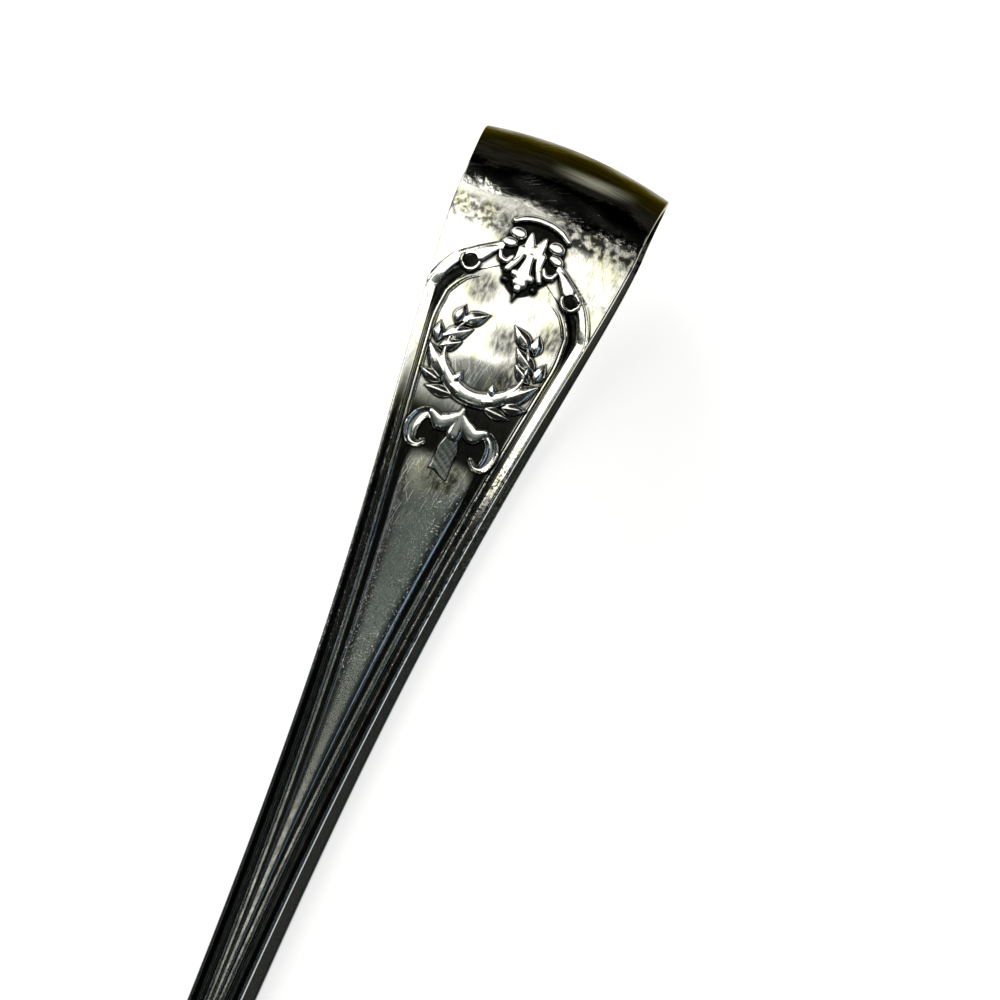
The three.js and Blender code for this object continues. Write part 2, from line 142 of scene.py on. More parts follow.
class TongsBorder(bpy.types.PropertyGroup):
    """The reeded border and the field of an arm"""

    edge_line: length("Edge line", "Fine line along the very edge", 0.14)
    groove_offset: length("Groove offset", "From the edge line to the fine groove beside it", 0.05)
    groove_width: length("Groove width", "Half width of the fine groove", 0.04)
    groove_depth: length("Groove depth", "Depth of the fine groove", 0.07)
    rim_width: length("Rim width", "From the edge to the channel", 0.86)
    rim_fall: length("Rim fall", "How far the rim falls towards the channel", 0.24)
    notch_pitch: length("Notch pitch", "From one notch of the near rim to the next", 0.3)
    notch_depth: length("Notch depth", "Depth of a notch", 0.02)
    notch_at: length("Notch place", "From the edge to the middle of the notches", 0.55)
    notch_reach: length("Notch reach", "Half length of a notch across the rim", 0.25)
    channel_width: length("Channel width", "Hollow channel inside the rim", 0.36)
    channel_depth: length("Channel depth", "Depth of the channel", 0.26)
    flare: length("Flare", "How much wider the channel is under the volute", 0.75)
    flare_end: length("Flare end", "Where the channel has narrowed to its own width", 12.5)
    thread_width: length("Thread width", "Fine raised thread inside the channel", 0.32)
    thread_drop: length("Thread drop", "How far the thread lies below the edge line", 0.08)
    thread_round: length("Thread round", "How far the thread is rounded over", 0.14)
    inner_thread: length("Inner thread", "Width of the lower thread beside the field", 0.2)
    inner_drop: length("Inner drop", "How far the lower thread lies below the edge line", 0.16)
    inner_round: length("Inner round", "How far the lower thread is rounded over", 0.16)
    field_depth: length("Field depth", "Depth of the field below the edge line", 0.42)
    border_share: share("Border share", "Most of the half width that the border takes", 0.75)
    scroll_end: length("Scroll end", "Where the scrolls run into the border", 9.3)
    border_fade: length("Border fade", "Length over which the field sinks", 6)
    cushion_share: share("Cushion share", "Share of the field that the cushion covers at its head", 0.8)
    ridge_share: share("Ridge share", "Share of the field that the cushion covers at its foot", 0.62)
    cushion_rise: length("Cushion rise", "Height of the cushion over the field", 0.33)
    cushion_start: length("Cushion start", "Where the cushion rises from the field", 21.5)
    cushion_fade: length("Cushion fade", "Length over which the cushion rises", 5)
    cushion_length: length("Cushion length", "From the cushion's full head to its ridge", 30)


class TongsOrnament(bpy.types.PropertyGroup):
    """The castings on each arm"""

    leaf_height: length("Leaf height", "Height of the acanthus leaf", 0.62)
    volute_y: length("Volute across", "From the middle line to the volute's eye", 4.5)
    volute_s: length("Volute along", "From the end of the bow to the volute's eye", 6.3)
    scroll_height: length("Scroll height", "Height of the scroll's threads", 0.42)
    wreath_s: length("Wreath along", "From the end of the bow to the wreath's centre", 13.5)
    wreath_ring: length("Wreath ring", "Radius of the wreath's stem", 3.5)
    wreath_opening: angle("Wreath opening", "Half of the gap at the wreath's top", 36)
    laurel_height: length("Laurel height", "Height of a laurel leaf", 0.6)
    medallion_radius: length("Medallion radius", "Radius of the dome inside the wreath", 3.7)
    medallion_rise: length("Medallion rise", "Height of the dome inside the wreath", 0.36)
    knot_s: length("Knot along", "From the end of the bow to the ribbon's knot", 18.4)
    ribbon_length: length("Ribbon length", "From the knot to the end of the tail", 5.7)
    ribbon_height: length("Ribbon height", "Height of the ribbon", 0.5)


class TongsClaw(bpy.types.PropertyGroup):
    """The grips"""

    palm_length: length("Palm length", "From the wrist to the toes", 5.5)
    palm_width: length("Palm width", "Width across the palm", 6.2)
    claw_length: length("Claw length", "From the wrist to the middle talon", 13.5)
    toe_spread: length("Toe spread", "Width across the talons", 7.4)
    toe_thickness: length("Toe thickness", "Thickness of a toe", 2)
    talon_thickness: length("Talon thickness", "Thickness of a talon's end", 0.5)
    curl_depth: length("Curl depth", "How far the talons curl in", 4.6)
    knuckle_swell: share("Knuckle swell", "How far a toe swells at its knuckles", 0.13)
    scale_swell: share("Scale swell", "How far a toe swells at its scales", 0.05)
    grain: length("Grain", "Size of the finest form on a claw", 0.11)


class TongsFinish(bpy.types.PropertyGroup):
    """Colours and gloss of the silver"""

    silver: colour("Silver", "Clean, worn silver", (0.78, 0.775, 0.74))
    # The tarnish colour is also the black that paints shade.
    tarnish_and_shade_black: colour("Tarnish and shade", "Black tarnish left in the recesses", (0.004, 0.0042, 0.0035))
    toned: colour("Toned", "Silver that has turned a little yellow", (0.77, 0.765, 0.6))
    # The film is painted shade on the crown of the bow.
    crown_shade: colour("Crown shade", "Dark olive film round the crown of the bow", (0.012, 0.0115, 0.011))
    grazing: colour("Grazing", "Tint of the bow where it turns away from the eye", (0.55, 0.52, 0.4))
    polish: share("Polish", "Roughness of the bow", 0.09)
    satin: share("Satin", "Roughness of the arms", 0.2)
    casting: share("Casting", "Roughness of the castings", 0.17)
    # Share of painted shade on the faces between the arms.
    inside_shade: share("Inside shade", "Share of black on the faces between the arms", 0.72)
    # Share of black along the shank, darker towards the wrist.
    shank_darkening: share("Shank darkening", "Share of black along the shank", 0.42)
    dent_depth: number("Dent depth", "Depth of the bow's soft dents against its grain", 34.0)
    stipple_height: number("Stipple height", "Height of the cushion's stipple against its scratches", 4.0)


class TongsStage(bpy.types.PropertyGroup):
    """Table, lamps and camera"""

    table_radius: length("Table radius", "Radius of the round table", 700)
    table_colour: colour("Table colour", "Colour of the table top", (0.9, 0.9, 0.9))
    table_gap: length("Table gap", "Room between the tongs and the table top", 0.01)
    table_lift: share("Table lift", "Light that the table top adds for camera and mirror rays", 0.7)
    wall: colour("Wall", "Colour of the room around the table", (0.01, 0.0115, 0.0105))
    ceiling: colour("Ceiling", "Colour of the room overhead", (0.066, 0.09, 0.084))
    ceiling_start: angle("Ceiling start", "Height in the room at which the ceiling begins", 66)
    ceiling_full: angle("Ceiling full", "Height in the room from which all is ceiling", 82)
    lamp_distance: length("Lamp distance", "From the tongs to a lamp", 500)
    softbox_power: power("Softbox power", "Power of the softbox over the bow", 0.85)
    window_power: power("Window power", "Power of the large lamp to the left", 1.2)
    ceiling_power: power("Ceiling power", "Power of the dim lamp overhead", 0.03)
    warm_power: power("Warm power", "Power of the small warm lamp over the shank", 0.014)
    strip_power: power("Strip power", "Power of the cool strip lamp", 0.1)
    camera_distance: length("Camera distance", "From the upper arm to the camera", 285)
    camera_aim_x: length("Aim along", "Where the camera aims, towards the bow", 24.76)
    camera_aim_y: length("Aim across", "Where the camera aims, towards the near edge", 5.64)
    camera_ahead: length("Camera ahead", "How far the camera stands towards the bow", 21)
    camera_aside: length("Camera aside", "How far the camera stands to the near edge", 11)
    camera_roll: angle("Camera roll", "Lean of the tongs in the picture", 23.04)
    lens: FloatProperty(name="Lens", description="Focal length", default=125.4, subtype="DISTANCE_CAMERA")


# Drawing on the flat

def smooth(value, start, end):
    t = np.clip((value - start) / (end - start), 0.0, 1.0)
    return t * t * (3.0 - 2.0 * t)


def mix(a, b, part):
    return a + (b - a) * part


def bump(value, middle, width):
    """1 at the middle, falling off over this width to both sides."""
    return np.exp(-(((value - middle) / width) ** 2))


def drawn(points):
    """Points written in millimetres."""
    return np.array(points, float) * MM


def spline(points, steps=10):
    """A smooth curve through the points, with this many steps from each to the next."""
    ends = np.vstack((2 * points[0] - points[1], points, 2 * points[-1] - points[-2]))
    t = np.linspace(0.0, 1.0, steps, endpoint=False)[:, None]
    spans = []
    for a, b, c, d in zip(ends, ends[1:], ends[2:], ends[3:]):
        cubic = (3 * b - a - 3 * c + d) * t ** 3
        spans.append(0.5 * (2 * b + (c - a) * t + (2 * a - 5 * b + 4 * c - d) * t ** 2 + cubic))
    return np.vstack((*spans, points[-1]))


def to_segment(y, s, start, end):
    """Distance from each point to a straight piece, and the share of the way along it."""
    way = end - start
    t = ((y - start[0]) * way[0] + (s - start[1]) * way[1]) / (way @ way)
    t = np.clip(t, 0.0, 1.0)
    return np.hypot(y - start[0] - t * way[0], s - start[1] - t * way[1]), t


def distance_to(y, s, path):
    """Distance to a path, and the share of the path's points at the nearest place."""
    nearest = np.full(np.shape(y), np.inf)
    part = np.zeros(np.shape(y))
    for i, (start, end) in enumerate(zip(path, path[1:])):
        gap, t = to_segment(y, s, start, end)
        closer = gap < nearest
        nearest = np.where(closer, gap, nearest)
        part = np.where(closer, (i + t) / (len(path) - 1), part)
    return nearest, part


def along(values):
    """A value that runs through the given ones, spaced evenly from 0 to 1."""
    return lambda part: np.interp(part, np.linspace(0.0, 1.0, len(values)), values)


# Raised parts: each gives its height over the ground and the distance outside its outline

def curve(*points):
    return spline(drawn(points))


def pillow(r, wall):
    """Profile from 1 in the middle to 0 at the outline: a steep wall of this share, rounded over."""
    return wall * (1.0 - r ** 8) + (1.0 - wall) * (1.0 - r ** 2)


def branch(y, s, path, widths, height, wall=0.6):
    """A branch along a path, as wide as the widths on its way."""
    gap, part = distance_to(y, s, path)
    half = along(drawn(widths))(part) / 2
    return height * pillow(gap / half, wall), gap - half


def lump(y, s, centre, size, height, turn=0.0, wall=0.6):
    """An oval of these half sizes."""
    across, ahead = y - centre[0] * MM, s - centre[1] * MM
    a = (across * math.cos(turn) + ahead * math.sin(turn)) / (size[0] * MM)
    b = (ahead * math.cos(turn) - across * math.sin(turn)) / (size[1] * MM)
    r = np.hypot(a, b)
    return height * pillow(r, wall), (r - 1.0) * min(size) * MM


def band(y, s, path, widths, heights, hollow=0.55, edge_at=0.72):
    """A ribbon along a path, hollowed to a share of its height between its rounded edges."""
    gap, part = distance_to(y, s, path)
    half = along(drawn(widths))(part) / 2
    r = gap / half
    dish = mix(hollow, 1.0, np.minimum(r / edge_at, 1.0) ** 2)
    edge = 1.0 - np.maximum(r - edge_at, 0.0) ** 2 / (1.0 - edge_at) ** 2
    return along(heights)(part) * np.where(r < edge_at, dish, edge), gap - half


def pointed(y, s, foot, tip, width, height, wall=0.55):
    """A pointed leaf: a low wall, and a roof that falls from a ridge to both sides."""
    way = tip - foot
    size = math.hypot(*way)
    t = ((y - foot[0]) * way[0] + (s - foot[1]) * way[1]) / size ** 2
    across = np.abs((s - foot[1]) * way[0] - (y - foot[0]) * way[1]) / size
    shape = np.sin(math.pi * np.clip(t, 0.0, 1.0) ** 0.85)
    half = np.maximum(width / 2 * shape, 0.01 * MM)
    r = across / half
    rise = height * (wall * (1.0 - r ** 10) + (1.0 - wall) * shape * (1.0 - r ** 1.2))
    gap = np.maximum.reduce([across - half, -t * size, (t - 1.0) * size])
    return np.where((t > 0.0) & (t < 1.0), rise, -height), gap


def merge(*parts):
    """Parts that run into one another."""
    return np.maximum.reduce([rise for rise, gap in parts]), np.minimum.reduce([gap for rise, gap in parts])


def on_top(part, rise, within=0.02 * MM):
    """Where a part is the topmost one."""
    return part > rise - within


# A crease, painted black as shade, starts and is whole at these distances from an outline, and at these
# heights of the part below
CREASE_EDGE, CREASE_BELOW, OUTLINE_EDGE = drawn(((-0.14, -0.05), (0.0, 0.08), (-0.09, 0.0)))
CREASE_DEPTH = 0.1 * MM


def gather(*parts):
    """Parts with a crease and a black outline round each, painted as shade: height, share of painted shade,
    and distance outside them all.
    """
    rises, gaps = np.array([rise for rise, gap in parts]), np.array([gap for rise, gap in parts])
    order = np.argsort(rises, axis=0)[-2:]
    below, top = np.take_along_axis(rises, order, axis=0)
    own = np.take_along_axis(gaps, order[1:], axis=0)[0]
    crease = smooth(own, *CREASE_EDGE) * smooth(below, *CREASE_BELOW)
    gap = gaps.min(axis=0)
    return top - CREASE_DEPTH * crease, np.maximum(crease, smooth(gap, *OUTLINE_EDGE)), gap


# Places along an arm, from the end of the bow: where each thing starts, and where it is whole or gone
OUTLINE_STARTS = drawn((3.6, 4.0))
CHANNEL_STARTS, CHANNEL_WORN = drawn((6.2, 8.2)), drawn((10.5, 13.5))
THREADS_START, INNER_THREAD_SINKS = drawn((6.8, 8.4)), drawn((22.0, 34.0))
NOTCHES_START, NOTCHES_END = drawn((12.0, 17.0)), drawn((22.0, 28.0))
# The field, rim and line places below bound painted shade.
FIELD_BLACK_NEAR, FIELD_BLACK_FAR, FIELD_BLACK_LENGTH = drawn((14.5, 17.0, 2.5))
RIM_BLACK_NEAR, RIM_BLACK_FAR = drawn((21.0, 27.0)), drawn((14.0, 21.0))
LINE_STARTS, LINE_ENDS = drawn((7.0, 8.0)), drawn((22.0, 26.0))
CASTINGS_END = 26 * MM

# Closeness of the meshes
FINE_END, FINE_PITCH, SHANK_RINGS = 33 * MM, 0.08 * MM, 170
BOW_RINGS, BOW_POINTS, INNER_POINTS, EDGE_POINTS = 60, 121, 41, 5
ACROSS = {"shelf": 8, "line": 6, "rim": 4, "channel": 15, "thread": 7, "cushion": 40, "field": 25}
SHARP = math.radians(50)


class Strip:
    """Shape of the bent strip, from the settings and the frame."""

    def __init__(self):
        self.size = bpy.context.scene.tongs_strip
        self.border = bpy.context.scene.tongs_border
        self.bow_x = CAD_HIGH.x - self.size.bow_radius
        self.middle_z = (CAD_LOW.z + CAD_HIGH.z) / 2
        self.shoulder_radius = self.size.shoulder_length / self.size.shoulder_angle

    def row(self, x, y, z, side):
        """Places the upper half of the tongs; the lower half is the upper one turned over about X."""
        turn = 1.0 if side == "upper" else -1.0
        x, y, z = np.broadcast_arrays(x, y, z)
        return np.stack((x + self.bow_x, turn * y, self.middle_z + turn * z), axis=-1)

    def bend(self, y, s, h, side):
        lean = self.size.shoulder_angle * np.maximum(0.0, 1.0 - s / self.size.shoulder_length)
        straight = np.maximum(0.0, s - self.size.shoulder_length)
        neck = self.size.bow_radius - self.shoulder_radius
        x = neck * math.sin(self.size.shoulder_angle) + self.shoulder_radius * np.sin(lean) - straight
        z = neck * math.cos(self.size.shoulder_angle) + self.shoulder_radius * np.cos(lean)
        return self.row(x + h * np.sin(lean), y, z + h * np.cos(lean), side)

    def half_width(self, s):
        bell = np.exp(-((np.maximum(0.0, s) / self.size.taper_length) ** self.size.taper_power))
        return (self.size.shank_width + (self.size.neck_width - self.size.shank_width) * bell) / 2

    def thickness(self, s):
        return mix(self.size.bow_thickness, self.size.wrist_thickness, smooth(s, 0.0, self.size.arm_length))

    def rounding(self, s):
        return 1.0 - smooth(s, 0.0, self.size.shoulder_length)

    def rim_depth(self, y, s):
        return self.size.crown_rise * self.rounding(s) * (y / self.half_width(s)) ** 2

    def inner_depth(self, y, s):
        hollow = self.size.hollow_rise * self.rounding(s) * (y / self.half_width(s)) ** 2
        return self.thickness(s) + hollow

    def arch(self):
        """Outer line of the border: over the volute from the leaf, then out to the edge."""
        end = self.border.scroll_end
        over = drawn(((2.7, 3.8), (3.3, 4.2), (4.6, 5.1), (5.8, 6.1), (6.55, 7.25), (7.0, 8.4)))
        return spline(np.vstack((over, (self.half_width(end), end))), 8)

    def border_distance(self, y, s):
        """Distance inwards from the arch or, below it, from the edge; negative outside the arch."""
        y = np.abs(y)
        arch = self.arch()
        gap = distance_to(y, s, arch)[0]
        outside = (y > np.interp(s, arch[:, 1], arch[:, 0])) | (s < arch[0, 1])
        near_arch = np.where(outside, -gap, gap)
        return np.where(s > self.border.scroll_end, self.half_width(s) - y, near_arch)

    def reeds(self, s):
        """Where thread and field begin, from the border's outer line, and how far the reeds are squeezed."""
        b = self.border
        flare = b.flare * (1.0 - smooth(s, b.scroll_end - 2 * MM, b.flare_end))
        thread_at = b.rim_width + b.channel_width + flare
        field_at = thread_at + b.thread_width
        return thread_at, field_at, np.minimum(1.0, b.border_share * self.half_width(s) / field_at)

    def ground(self, y, s):
        """Depth of an arm's outer face below its middle line: rim, channel, threads, field and cushion."""
        b = self.border
        sunk = smooth(s, b.scroll_end - b.border_fade, b.scroll_end)
        thread_at, field_at, squeeze = self.reeds(s)
        d = self.border_distance(y, s) / squeeze
        groove = bump(d, b.edge_line + b.groove_offset, b.groove_width)
        rim = self.rim_fall(y, s) + b.groove_depth * groove * sunk
        over = np.clip((d - b.rim_width) / (thread_at - b.rim_width), 0.0, 1.0)
        floor = mix(b.rim_fall, b.thread_drop, over) * sunk
        channel = floor + b.channel_depth * self.channel(d, s) ** 0.6
        thread = b.thread_drop + b.thread_round * ((d - thread_at) / b.thread_width * 2 - 1) ** 2
        second = (d - field_at) / b.inner_thread * 2 - 1
        second_top = mix(b.inner_drop, b.field_depth, smooth(s, *INNER_THREAD_SINKS))
        step = np.minimum(second_top + b.inner_round * second ** 2, b.field_depth)
        below = smooth(s, *THREADS_START)
        thread, step = (mix(b.field_depth, reed, below) * sunk for reed in (thread, step))
        field = np.where(second < 1, step, sunk * b.field_depth)
        zones = [d < 0, d < b.rim_width, d < thread_at, d < field_at]
        depth = np.select(zones, [0 * d, rim, channel, thread], field)
        depth = depth + np.where(y < 0, self.notches(d, s), 0.0)
        return self.rim_depth(y, s) + depth - self.cushion(y, s) - self.medallion(y, s)

    def rim_fall(self, y, s):
        """How far the rim has fallen from the edge line towards the channel."""
        b = self.border
        d = self.border_distance(y, s) / self.reeds(s)[2]
        part = np.clip((d - b.edge_line) / (b.rim_width - b.edge_line), 0.0, 1.0)
        return b.rim_fall * part * smooth(s, b.scroll_end - b.border_fade, b.scroll_end)

    def notches(self, d, s):
        """Fine notches across the near rim, from the wreath to below the ribbon."""
        b = self.border
        shown = smooth(s, *NOTCHES_START) * (1 - smooth(s, *NOTCHES_END))
        lag = 2.5 * np.sin(s / (0.7 * MM)) + 2.0 * np.sin(s / (0.31 * MM))
        lag = lag + 3.0 * np.sin(d / (0.11 * MM) + s / (0.5 * MM))
        wave = 0.5 + 0.5 * np.cos(s / b.notch_pitch * 2 * math.pi + lag)
        return b.notch_depth * shown * wave * bump(d, b.notch_at, b.notch_reach)

    def channel(self, d, s):
        """Round hollow inside the rim, 1 in its middle, which starts under the volute."""
        b = self.border
        width = self.reeds(s)[0] - b.rim_width
        hollow = np.clip(1.0 - ((d - b.rim_width) / width * 2 - 1) ** 2, 0.0, 1.0)
        return smooth(s, *CHANNEL_STARTS) * hollow

    def shade_and_tarnish(self, y, s):
        """Share of black painted on an arm: shade in the channel, creases and gaps, on the rims and field
        and round the castings, with tarnish in the hollows.
        """
        d = self.border_distance(y, s) / self.reeds(s)[2]
        black = self.border_black(y, s, d), self.field_black(y, s, d), self.casting_black(np.abs(y), s)
        return np.maximum.reduce(black)

    def border_black(self, y, s, d):
        """Painted shade in the channel, on the line beside the threads, outside the scrolls and on the rim.
        """
        b = self.border
        deep = self.channel(d, s)
        hollow = mix(smooth(deep, 0.05, 0.4), 0.85 * smooth(deep, 0.55, 0.95), smooth(s, *CHANNEL_WORN))
        line = smooth(s, *LINE_STARTS) * (1.0 - smooth(s, *LINE_ENDS))
        line = 0.9 * line * bump(d, self.reeds(s)[1], 0.07 * MM)
        outline = smooth(d, -0.25 * MM, -0.12 * MM) * (d < 0.0) * smooth(s, *OUTLINE_STARTS)
        rim = np.where(y < 0.0, smooth(s, *RIM_BLACK_NEAR), smooth(s, *RIM_BLACK_FAR))
        rim = 0.97 * rim * smooth(d - b.edge_line, 0.06 * MM, 0.14 * MM) * (d < b.rim_width - 0.04 * MM)
        return np.maximum.reduce([hollow, line, outline, rim])

    def field_black(self, y, s, d):
        """Painted shade on the field below the wreath, up to the foot of the cushion."""
        b = self.border
        inner = self.reeds(s)[1] + b.inner_thread
        start = np.where(y < 0.0, FIELD_BLACK_NEAR, FIELD_BLACK_FAR)
        black = 0.98 * smooth(s, start, start + FIELD_BLACK_LENGTH) * smooth(d - inner, -0.1 * MM, 0.05 * MM)
        return black * (1.0 - smooth(self.cushion(y, s) / b.cushion_rise, 0.03, 0.3))

    def casting_black(self, y, s):
        """Painted shade round the castings' feet, in the volutes' eyes and behind the leaf."""
        o = bpy.context.scene.tongs_ornament
        feet = np.zeros_like(y)
        near = s < CASTINGS_END
        reaches = {leaf_relief: 0.35, volute_relief: 0.5, spray_relief: 0.2, ribbon_relief: 0.3}
        for relief, reach in reaches.items():
            gap = relief(y[near], s[near])[2]
            feet[near] = np.maximum(feet[near], 1.0 - smooth(gap, 0.0, reach * MM))
        eye = 1.0 - smooth(np.hypot(y - o.volute_y, s - o.volute_s), 0.5 * MM, 0.65 * MM)
        behind = curve((2.3, 1.2), (2.7, 2.6), (2.75, 4.2), (2.5, 5.3), (1.7, 6.5), (1.2, 7.2), (0.3, 7.8))
        leaf = np.interp(s, behind[:, 1], behind[:, 0], left=0.0, right=0.0) - y
        return np.maximum.reduce([feet, eye, smooth(leaf, 0.0, 0.15 * MM)])

    def cushion(self, y, s):
        b = self.border
        head = b.cushion_start + b.cushion_fade
        foot = np.clip((s - head) / b.cushion_length, 0.0, 1.0)
        half = self.field_half(s) * mix(b.cushion_share, b.ridge_share, foot)
        rise = b.cushion_rise * smooth(s, b.cushion_start, head)
        return rise * np.clip(1.0 - np.abs(y / half) ** 4, 0.0, 1.0) ** 0.8

    def field_half(self, s):
        field_at, squeeze = self.reeds(s)[1:]
        return self.half_width(s) - field_at * squeeze

    def medallion(self, y, s):
        """The slight dome inside the wreath."""
        ornament = bpy.context.scene.tongs_ornament
        gap = np.hypot(y, s - ornament.wreath_s) / ornament.medallion_radius
        return ornament.medallion_rise * (1.0 - smooth(gap, 0.0, 1.0))

    def columns(self, s):
        """Places across an arm, close together where the reeds turn."""
        b = self.border
        half = self.half_width(s)
        thread_at, field_at, squeeze = self.reeds(s)
        line, stretch = half, squeeze
        if s < b.scroll_end:
            arch = self.arch()
            at = max(s, 6 * MM)
            line = np.interp(at, arch[:, 1], arch[:, 0])
            lean = np.interp(at, arch[:, 1], np.gradient(arch[:, 0], arch[:, 1]))
            stretch = squeeze * math.hypot(1.0, lean)
        flat = half - self.size.edge_round
        shelf = np.linspace(flat, min(line, flat) - 0.01 * MM, ACROSS["shelf"])
        corner = 0.004 * MM
        turn = 0.5 - 0.5 * np.cos(np.linspace(0.0, math.pi, ACROSS["channel"]))
        reeds = line - stretch * np.concatenate((
            b.edge_line + np.linspace(-0.02, 0.12, ACROSS["line"]) * MM,
            np.linspace(b.edge_line + 0.2 * MM, b.rim_width - corner, ACROSS["rim"]),
            b.rim_width + (thread_at - b.rim_width) * turn,
            np.linspace(thread_at + corner, field_at - corner, ACROSS["thread"]),
            np.linspace(field_at + corner, field_at + b.inner_thread, ACROSS["thread"]),
        ))
        step = 0.001 * MM * np.arange(1, len(reeds) + 1)
        reeds = np.minimum(reeds, shelf[-1] - step)
        foot = min(self.field_half(s) * b.cushion_share, 0.9 * reeds[-1])
        cushion = np.linspace(0.0, foot, ACROSS["cushion"])[1:]
        field = np.linspace(foot, reeds[-1], ACROSS["field"])[1:-1]
        outwards = np.concatenate((cushion, field, reeds[::-1], shelf[::-1]))
        return np.concatenate((-outwards[::-1], (0.0,), outwards))


# Meshes

def build(name, points, faces, shade_and_tarnish=None):
    """A smooth mesh object of these points and groups of faces, with its faces pointing out."""
    volume = 0.0
    for group in faces:
        corners = points[group]
        for i in range(1, group.shape[1] - 1):
            turned = np.cross(corners[:, i], corners[:, i + 1])
            volume += np.einsum("ij,ij->", corners[:, 0], turned)
    if volume < 0:
        faces = [group[:, ::-1] for group in faces]
    mesh = bpy.data.meshes.new(name)
    totals = np.concatenate([np.full(len(group), group.shape[1]) for group in faces])
    loops = np.concatenate([group.ravel() for group in faces])
    mesh.vertices.add(len(points))
    mesh.vertices.foreach_set("co", points.astype(np.float32).ravel())
    mesh.loops.add(len(loops))
    mesh.loops.foreach_set("vertex_index", loops.astype(np.int32))
    mesh.polygons.add(len(totals))
    mesh.polygons.foreach_set("loop_start", (np.cumsum(totals) - totals).astype(np.int32))
    mesh.update(calc_edges=True)
    mesh.validate()
    if shade_and_tarnish is not None:
        painted = mesh.attributes.new("shade_and_tarnish", "FLOAT", "POINT").data
        painted.foreach_set("value", shade_and_tarnish.astype(np.float32).ravel())
    mesh.shade_smooth()
    mesh.set_sharp_from_angle(angle=SHARP)
    piece = bpy.data.objects.new(name, mesh)
    bpy.context.scene.collection.objects.link(piece)
    return piece


def loft(name, rings, shade_and_tarnish=None):
    """A closed skin through rings of as many points each, with a flat face at both ends."""
    rows, count = rings.shape[:2]
    index = np.arange(rows * count).reshape(rows, count)
    ahead = np.roll(index, -1, axis=1)
    quads = np.stack((index[:-1], ahead[:-1], ahead[1:], index[1:]), axis=-1).reshape(-1, 4)
    caps = np.stack((index[0, ::-1], index[-1]))
    return build(name, rings.reshape(-1, 3), [quads, caps], shade_and_tarnish)


def slab(name, top, base, cells, shade_and_tarnish):
    """A closed slab over the kept cells of a grid, with walls round their outline."""
    rows, columns = cells.shape
    index = np.arange(top[..., 0].size).reshape(rows + 1, columns + 1)
    corners = (index[:-1, :-1], index[:-1, 1:], index[1:, 1:], index[1:, :-1])
    upper = np.stack(corners, axis=-1)[cells]
    groups = [upper, upper[:, ::-1] + index.size]
    framed = np.pad(cells, 1)
    for turn, (down, right) in enumerate(((-1, 0), (0, 1), (1, 0), (0, -1))):
        beside = framed[1 + down:1 + down + rows, 1 + right:1 + right + columns]
        edge = cells & ~beside
        start, end = corners[turn][edge], corners[(turn + 1) % 4][edge]
        groups.append(np.stack((end, start, start + index.size, end + index.size), axis=-1))
    quads = np.concatenate(groups)
    used = np.unique(quads)
    points = np.vstack((top.reshape(-1, 3), base.reshape(-1, 3)))[used]
    return build(name, points, [np.searchsorted(used, quads)], np.tile(shade_and_tarnish.ravel(), 2)[used])


def casting(name, strip, side, hand, relief, low, high, grain=0.06 * MM, sink=0.12 * MM):
    """A relief that stands on an arm's face, from its height over the ground inside a flat box."""
    across, level = np.meshgrid(np.arange(low[0], high[0], grain), np.arange(low[1], high[1], grain))
    rise, shade_and_tarnish = relief(across, level)[:2]
    rise = np.maximum(rise, -sink)
    ground = -strip.ground(across, level)
    edge, root = 0.6 * sink, 1.2 * sink
    kept = np.maximum.reduce([rise[:-1, :-1], rise[:-1, 1:], rise[1:, 1:], rise[1:, :-1]]) > -edge
    top = strip.bend(hand * across, level, ground + rise, side)
    base = strip.bend(hand * across, level, ground - root, side)
    return slab(name, top, base, kept, shade_and_tarnish)


def section(strip, across, outer, half, inner):
    """Ring of (y, depth) round the strip: outer face, rounded edge, inner face, rounded edge."""
    r = strip.size.edge_round
    turn = np.linspace(0.0, math.pi / 2, EDGE_POINTS)[1:]
    top, bottom = outer[0] + r, inner(half) - r
    edge_y = np.concatenate((half - r + r * np.sin(turn), half - r + r * np.cos(turn)[:-1]))
    edge_d = np.concatenate((top - r * np.cos(turn), bottom + r * np.sin(turn)[:-1]))
    under = np.linspace(half - r, r - half, INNER_POINTS)
    y = np.concatenate((across, edge_y, under, -edge_y[::-1]))
    depth = np.concatenate((outer, edge_d, inner(under), edge_d[::-1]))
    return y, depth


def bow_half(strip, side):
    size = strip.size
    rings = []
    for lean in np.linspace(size.shoulder_angle, math.pi / 2, BOW_RINGS):
        half = mix(size.neck_width, size.bow_width, smooth(lean, size.shoulder_angle, math.pi / 2)) / 2
        across = np.linspace(size.edge_round - half, half - size.edge_round, BOW_POINTS)
        outer = size.crown_rise * (across / half) ** 2
        inner = lambda y, half=half: size.bow_thickness + size.hollow_rise * (y / half) ** 2
        y, depth = section(strip, across, outer, half, inner)
        radius = size.bow_radius - depth
        rings.append(strip.row(radius * math.sin(lean), y, radius * math.cos(lean), side))
    return loft(f"bow_{side}_half", np.array(rings))


def arm(strip, side):
    size = strip.size
    fine = np.arange(0.0, FINE_END, FINE_PITCH)
    stations = np.concatenate((fine, np.linspace(FINE_END, size.arm_length, SHANK_RINGS)))
    across = np.array([strip.columns(s) for s in stations])
    level = np.repeat(stations[:, None], across.shape[1], axis=1)
    outer, black = strip.ground(across, level), strip.shade_and_tarnish(across, level)
    rings, shade_and_tarnish = [], []
    for s, row, face, dark in zip(stations, across, outer, black):
        y, depth = section(strip, row, face, strip.half_width(s), lambda y, s=s: strip.inner_depth(y, s))
        rings.append(strip.bend(y, np.full_like(y, s), -depth, side))
        shade_and_tarnish.append(np.pad(dark, (0, len(y) - len(row))))
    return loft(f"{side}_arm_strip", np.array(rings), np.array(shade_and_tarnish))


# Castings, each drawn for the left hand

